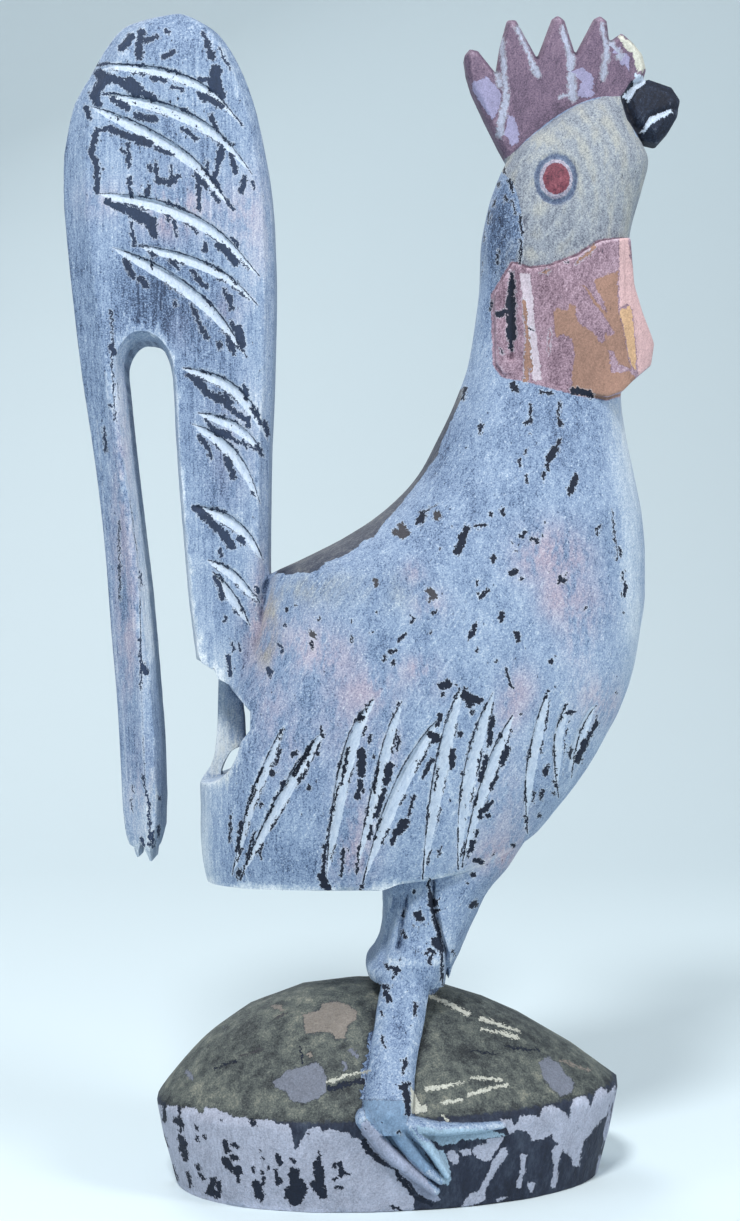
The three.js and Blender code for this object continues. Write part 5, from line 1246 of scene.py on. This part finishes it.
    # head: the grain of the wood shows in rings round the cheek
    away = m.vec("SUBTRACT", m.attr("sheet", "Vector"), (538.0, 196.0, 0.0))
    away = m.vec("MULTIPLY", away, (1.0, 0.72, 0.0))
    ring = m.math("ADD", m.vec("LENGTH", away), m.math("MULTIPLY", mid, 16.0))
    ring = m.math("SINE", m.math("MULTIPLY", ring, 0.40))
    tf = m.math("ADD", t, m.math("MULTIPLY", ring, 0.05))
    face = m.colours(tf, [(0.0, (76, 82, 96)), (0.22, (118, 126, 138)), (0.42, (146, 154, 162)), (0.62, (168, 174, 176)), (0.9, (198, 202, 198))])
    warm = m.math("MULTIPLY", m.ramp(m.math("ADD", mid, m.math("MULTIPLY", ring, 0.07)), 0.42, 0.70), 0.55)
    face = m.blend(warm, face, m.colours(tf, [(0.0, (70, 70, 68)), (0.3, (126, 126, 120)), (0.6, (160, 160, 152)), (0.9, (194, 192, 182))]))
    on_face = m.ramp(m.math("ADD", m.attr("face"), rag), -0.4, 0.4)
    col = m.blend(on_face, body, face)
    comb = m.colours(m.math("ADD", t, 0.02), [(0.05, (62, 52, 70)), (0.35, (100, 84, 104)), (0.6, (122, 104, 122)), (0.9, (160, 146, 164))])
    on_comb = m.ramp(m.math("ADD", m.attr("comb"), m.math("MULTIPLY", rag, 0.3)), -0.2, 0.3)
    on_comb = m.math("MULTIPLY", on_comb, m.math("SUBTRACT", 1.0, on_face))
    col = m.blend(on_comb, col, comb)
    wattle = m.colours(t, [(0.05, (84, 64, 78)), (0.30, (134, 112, 126)), (0.5, (160, 138, 152)), (0.8, (198, 182, 194))])
    on_wattle = m.ramp(m.math("ADD", m.attr("wattle"), m.math("MULTIPLY", rag, 0.4)), -0.2, 0.4)
    col = m.blend(on_wattle, col, wattle)
    beak = m.colours(m.math("ADD", t, -0.15), [(0.1, (16, 22, 36)), (0.4, (34, 44, 64)), (0.75, (92, 100, 112))])
    on_beak = m.ramp(m.math("ADD", m.attr("beak"), m.math("MULTIPLY", rag, 0.3)), -0.2, 0.3)
    col = m.blend(on_beak, col, beak)
    e = m.math("ADD", m.attr("eye"), m.math("MULTIPLY", rag, 0.45))
    # the groove round the eye: grey-blue paint darkened as painted shade in the groove, round a pale ring and a red
    # centre
    groove = m.math("SUBTRACT", m.ramp(e, 6.0, 6.8), m.ramp(e, 7.9, 8.9))
    col = m.blend(m.math("MULTIPLY", groove, 0.85), col, m.colours(t, [(0.1, (52, 66, 96)), (0.5, (96, 114, 142)), (0.9, (150, 164, 186))]))
    col = m.blend(m.ramp(e, 6.6, 6.2), col, m.colours(t, [(0.1, (96, 96, 116)), (0.4, (164, 160, 176)), (0.9, (206, 204, 212))]))
    col = m.blend(m.ramp(e, 5.3, 5.0), col, m.colours(m.math("ADD", fine, m.math("MULTIPLY", m.math("SUBTRACT", speck, 0.5), 0.8)), [(0.25, (50, 28, 42)), (0.5, (108, 56, 70)), (0.75, (140, 84, 94))]))

    # mound
    blotch = m.noise(P, 1 / 5.5, 4, 0.7)
    soil = m.math("ADD", m.math("MULTIPLY", m.math("SUBTRACT", big, 0.5), 0.8), m.math("ADD", -0.17, m.math("MULTIPLY", blotch, 1.1)))
    soil = m.math("ADD", soil, m.math("MULTIPLY", m.math("SUBTRACT", speck, 0.5), 0.85))
    # painted shade in the mound's hollows
    soil = m.math("ADD", soil, m.math("MULTIPLY", hollow_shade, -0.2))
    soil = m.math("ADD", soil, m.math("MULTIPLY", m.ramp(m.attr("wall"), -6.0, 0.0), -0.26))
    top = m.colours(soil, [(0.12, (34, 38, 42)), (0.32, (66, 72, 72)), (0.48, (90, 96, 92)), (0.66, (120, 122, 112)), (0.9, (160, 158, 146))])
    wall_dark = m.colours(m.math("ADD", mid, m.math("MULTIPLY", m.math("SUBTRACT", fine, 0.5), 0.7)), [(0.2, (18, 24, 36)), (0.5, (32, 40, 58)), (0.8, (62, 72, 88))])
    wall_paint = m.colours(m.math("ADD", t, 0.0), [(0.1, (100, 104, 124)), (0.35, (146, 152, 172)), (0.6, (168, 176, 192)), (0.9, (194, 204, 214))])
    gone = m.math("ADD", m.noise(m.vec("MULTIPLY", P, (1, 1, 0.6)), 1 / 7.5, 4, 0.6), m.math("MULTIPLY", m.attr("bare"), 0.6))
    wall = m.blend(m.ramp(gone, 0.565, 0.58), wall_paint, wall_dark)
    # right under the rim the paint has gone
    wall_up = m.ramp(m.math("ADD", m.attr("wall"), m.math("MULTIPLY", rag, 1.0)), 1.2, 1.8)
    wall = m.blend(wall_up, wall_dark, wall)
    on_wall = m.ramp(m.math("ADD", m.attr("wall"), m.math("MULTIPLY", rag, 1.2)), -2.6, -1.4)
    mound_col = m.blend(on_wall, top, wall)
    on_toe = m.ramp(m.math("ADD", m.attr("toe"), m.math("MULTIPLY", rag, 0.2)), -0.1, 0.3)
    mound_col = m.blend(on_toe, mound_col, body)
    on_mound = m.ramp(m.math("ADD", m.attr("mound"), m.math("MULTIPLY", rag, 0.3)), -0.2, 0.2)
    col = m.blend(on_mound, col, mound_col)

    # patches: the nearest corner of the nearest outline
    sheet_q = m.vec("ADD", m.attr("sheet", "Vector"), slight)

    def side_of(name):
        edge = m.attr(name, "Vector")
        sep = m.node("ShaderNodeSeparateXYZ")
        m.put(sep.inputs[0], edge)
        flat = m.vec("MULTIPLY", edge, (1, 1, 0))
        return m.math("SUBTRACT", m.vec("DOT_PRODUCT", sheet_q, flat), sep.outputs[2])

    d1, d2 = side_of("edge"), side_of("edge2")
    outer, inner = m.math("MAXIMUM", d1, d2), m.math("MINIMUM", d1, d2)
    d_edge = m.math("ADD", inner, m.math("MULTIPLY", m.math("SUBTRACT", outer, inner), m.attr("edge_turn")))
    in_patch = m.math("MULTIPLY", m.ramp(d_edge, 0.35, -0.35), m.ramp(m.attr("allow"), -0.1, 0.3))
    kinds = [(i / KINDS, c) for i, c in enumerate(KIND_COLOURS)]
    patch = m.colours(m.attr("edge_kind"), kinds, "CONSTANT")
    shade = m.ramp(t, 0.0, 0.95, 0.58, 1.40, smooth=False)
    n = m.node("ShaderNodeCombineXYZ")
    for s in n.inputs:
        m.put(s, shade)
    patch = m.blend(1.0, patch, n.outputs[0], "MULTIPLY")
    patch_edge = m.math("MULTIPLY", m.math("SUBTRACT", m.ramp(d_edge, 1.6, 0.5), m.ramp(d_edge, 0.5, -0.4)), m.attr("outlined"))
    col = m.blend(m.math("MULTIPLY", patch_edge, 0.5), col, tint(34, 40, 54))
    col = m.blend(in_patch, col, patch)

    # flakes
    def mark(which):
        a, b = m.attr(which + "a", "Vector"), m.attr(which + "b", "Vector")
        k = m.node("ShaderNodeSeparateXYZ")
        m.put(k.inputs[0], m.attr(which + "k", "Vector"))
        at = m.vec("ADD", m.attr("sheet", "Vector"), m.vec("SCALE", warp, scale=k.outputs[2]))
        pa, ba = m.vec("SUBTRACT", at, a), m.vec("SUBTRACT", b, a)
        h = m.math("DIVIDE", m.vec("DOT_PRODUCT", pa, ba), m.math("MAXIMUM", m.vec("DOT_PRODUCT", ba, ba), 0.001), clamp=True)
        d = m.math("SUBTRACT", m.vec("LENGTH", m.vec("SUBTRACT", pa, m.vec("SCALE", ba, scale=h))), k.outputs[0])
        return d, k.outputs[1]

    da, ka = mark("mark1")
    db, kb = mark("mark2")
    d_mark = m.math("MINIMUM", da, db)
    nearer = m.math("LESS_THAN", db, da)
    kind = m.math("ADD", m.math("MULTIPLY", ka, m.math("SUBTRACT", 1.0, nearer)), m.math("MULTIPLY", kb, nearer))
    in_mark = m.ramp(m.math("ADD", d_mark, m.math("MULTIPLY", m.math("SUBTRACT", speck, 0.5), 2.0)), 0.25, -0.25)
    mark_col = m.colours(kind, kinds, "CONSTANT")
    mark_col = m.blend(1.0, mark_col, n.outputs[0], "MULTIPLY")
    # small chips in the paint film
    chip_n = m.noise(m.vec("MULTIPLY", P, (1.0, 1.0, 0.5)), 1 / 1.7, 3, 0.7)
    chip = m.ramp(m.math("ADD", chip_n, m.math("MULTIPLY", m.attr("chips"), 0.085)), 0.715, 0.73)
    keep_off = m.math("MULTIPLY", on_mound, m.math("SUBTRACT", 1.0, on_toe))
    chip = m.math("MULTIPLY", chip, m.math("SUBTRACT", 1.0, keep_off))
    # painted highlight: a pale rim round each flake, where the edge of the paint film catches the light
    rim = m.math("MULTIPLY", m.ramp(d_mark, 1.7, 0.8), m.math("SUBTRACT", 1.0, in_mark))
    rim = m.math("MULTIPLY", rim, m.math("SUBTRACT", 1.0, keep_off))
    col = m.blend(m.math("MULTIPLY", rim, 0.25), col, tint(200, 210, 222))
    col = m.blend(chip, col, tint(32, 42, 62))
    col = m.blend(in_mark, col, mark_col)

    # height of paint and wood, millimetres
    film = m.math("MAXIMUM", m.math("MULTIPLY", in_mark, 1.0), chip)
    h = m.math("MULTIPLY", film, -0.28)
    h = m.math("ADD", h, m.math("MULTIPLY", line, 0.30))
    h = m.math("ADD", h, m.math("MULTIPLY", fine, 0.30))
    h = m.math("ADD", h, m.math("MULTIPLY", speck, 0.14))
    h = m.math("ADD", h, m.math("MULTIPLY", m.math("MULTIPLY", blotch, keep_off), 0.9))
    h = m.math("ADD", h, m.math("MULTIPLY", in_patch, 0.12))
    bump = m.node("ShaderNodeBump")
    bump.inputs["Strength"].default_value = 1.0
    bump.inputs["Distance"].default_value = 0.001
    m.put(bump.inputs["Height"], h)
    rough = m.math("ADD", 0.56, m.math("MULTIPLY", mid, 0.24))
    rough = m.math("ADD", rough, m.math("MULTIPLY", film, 0.08))

    shader = m.node("ShaderNodeBsdfPrincipled")
    m.put(shader.inputs["Base Color"], col)
    m.put(shader.inputs["Roughness"], rough)
    shader.inputs["Specular IOR Level"].default_value = 0.3
    m.put(shader.inputs["Normal"], bump.outputs[0])
    out = m.node("ShaderNodeOutputMaterial")
    m.put(out.inputs["Surface"], shader.outputs[0])
    return m.mat


rooster.data.materials.append(paint())
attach(rooster, "root")
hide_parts("rooster_carving")


# ---- floor, light and camera -------------------------------------------------------------
def plain(name, colour, rough):
    m = Mix(name)
    s = m.node("ShaderNodeBsdfPrincipled")
    s.inputs["Base Color"].default_value = tint(*colour)
    s.inputs["Roughness"].default_value = rough
    s.inputs["Specular IOR Level"].default_value = 0.2
    out = m.node("ShaderNodeOutputMaterial")
    m.put(out.inputs["Surface"], s.outputs[0])
    return m.mat


# a pale floor that sweeps up into a plain wall behind
rows = [(-2.5, 0.0), (0.9, 0.0)]
for k in range(1, 11):
    a = math.pi / 2 * k / 10
    rows.append((0.9 + 0.9 * math.sin(a), 0.9 - 0.9 * math.cos(a)))
rows.append((1.8, 3.0))
v = [(x, y, z) for y, z in rows for x in (-3.0, 3.0)]
f = [(2 * k, 2 * k + 1, 2 * k + 3, 2 * k + 2) for k in range(len(rows) - 1)]
me = bpy.data.meshes.new("floor")
me.from_pydata(v, [], f)
me.shade_smooth()
floor = bpy.data.objects.new("floor", me)
bpy.context.scene.collection.objects.link(floor)
floor.data.materials.append(plain("floor_paint", (206, 220, 226), 0.7))


def lamp(name, at, size, power, aim=(0, 0, 0.22)):
    l = bpy.data.lights.new(name, "AREA")
    l.shape, l.size, l.energy = "DISK", size, power
    o = bpy.data.objects.new(name, l)
    o.location = at
    o.rotation_euler = (Vector(aim) - Vector(at)).to_track_quat("-Z", "Y").to_euler()
    bpy.context.scene.collection.objects.link(o)
    return o


lamp("key", (-0.25, -1.0, 1.42), 0.32, 22)
lamp("left", (-1.25, -0.55, 0.75), 0.5, 3.5)
lamp("right", (1.25, -0.75, 0.95), 0.5, 12)
lamp("back", (-0.6, 1.2, 1.4), 0.9, 10)

world = bpy.data.worlds.new("studio")
bpy.context.scene.world = world
world.use_nodes = True
world.node_tree.nodes["Background"].inputs["Color"].default_value = (0.90, 0.95, 1.0, 1.0)
world.node_tree.nodes["Background"].inputs["Strength"].default_value = 0.40

bpy.context.scene.view_settings.view_transform = "Standard"

cam = bpy.data.cameras.new("camera")
cam.sensor_fit = "VERTICAL"
cam.sensor_height = 24.0
cam.lens = 24.0 * UNIT / 1221.0
cam.clip_start = 0.05
view = bpy.data.objects.new("camera", cam)
view.location = (-SHIFT_X / 1000, -EYE_Y / 1000, EYE_Z / 1000)
view.rotation_euler = (math.pi / 2, 0, 0)
bpy.context.scene.collection.objects.link(view)
bpy.context.scene.camera = view
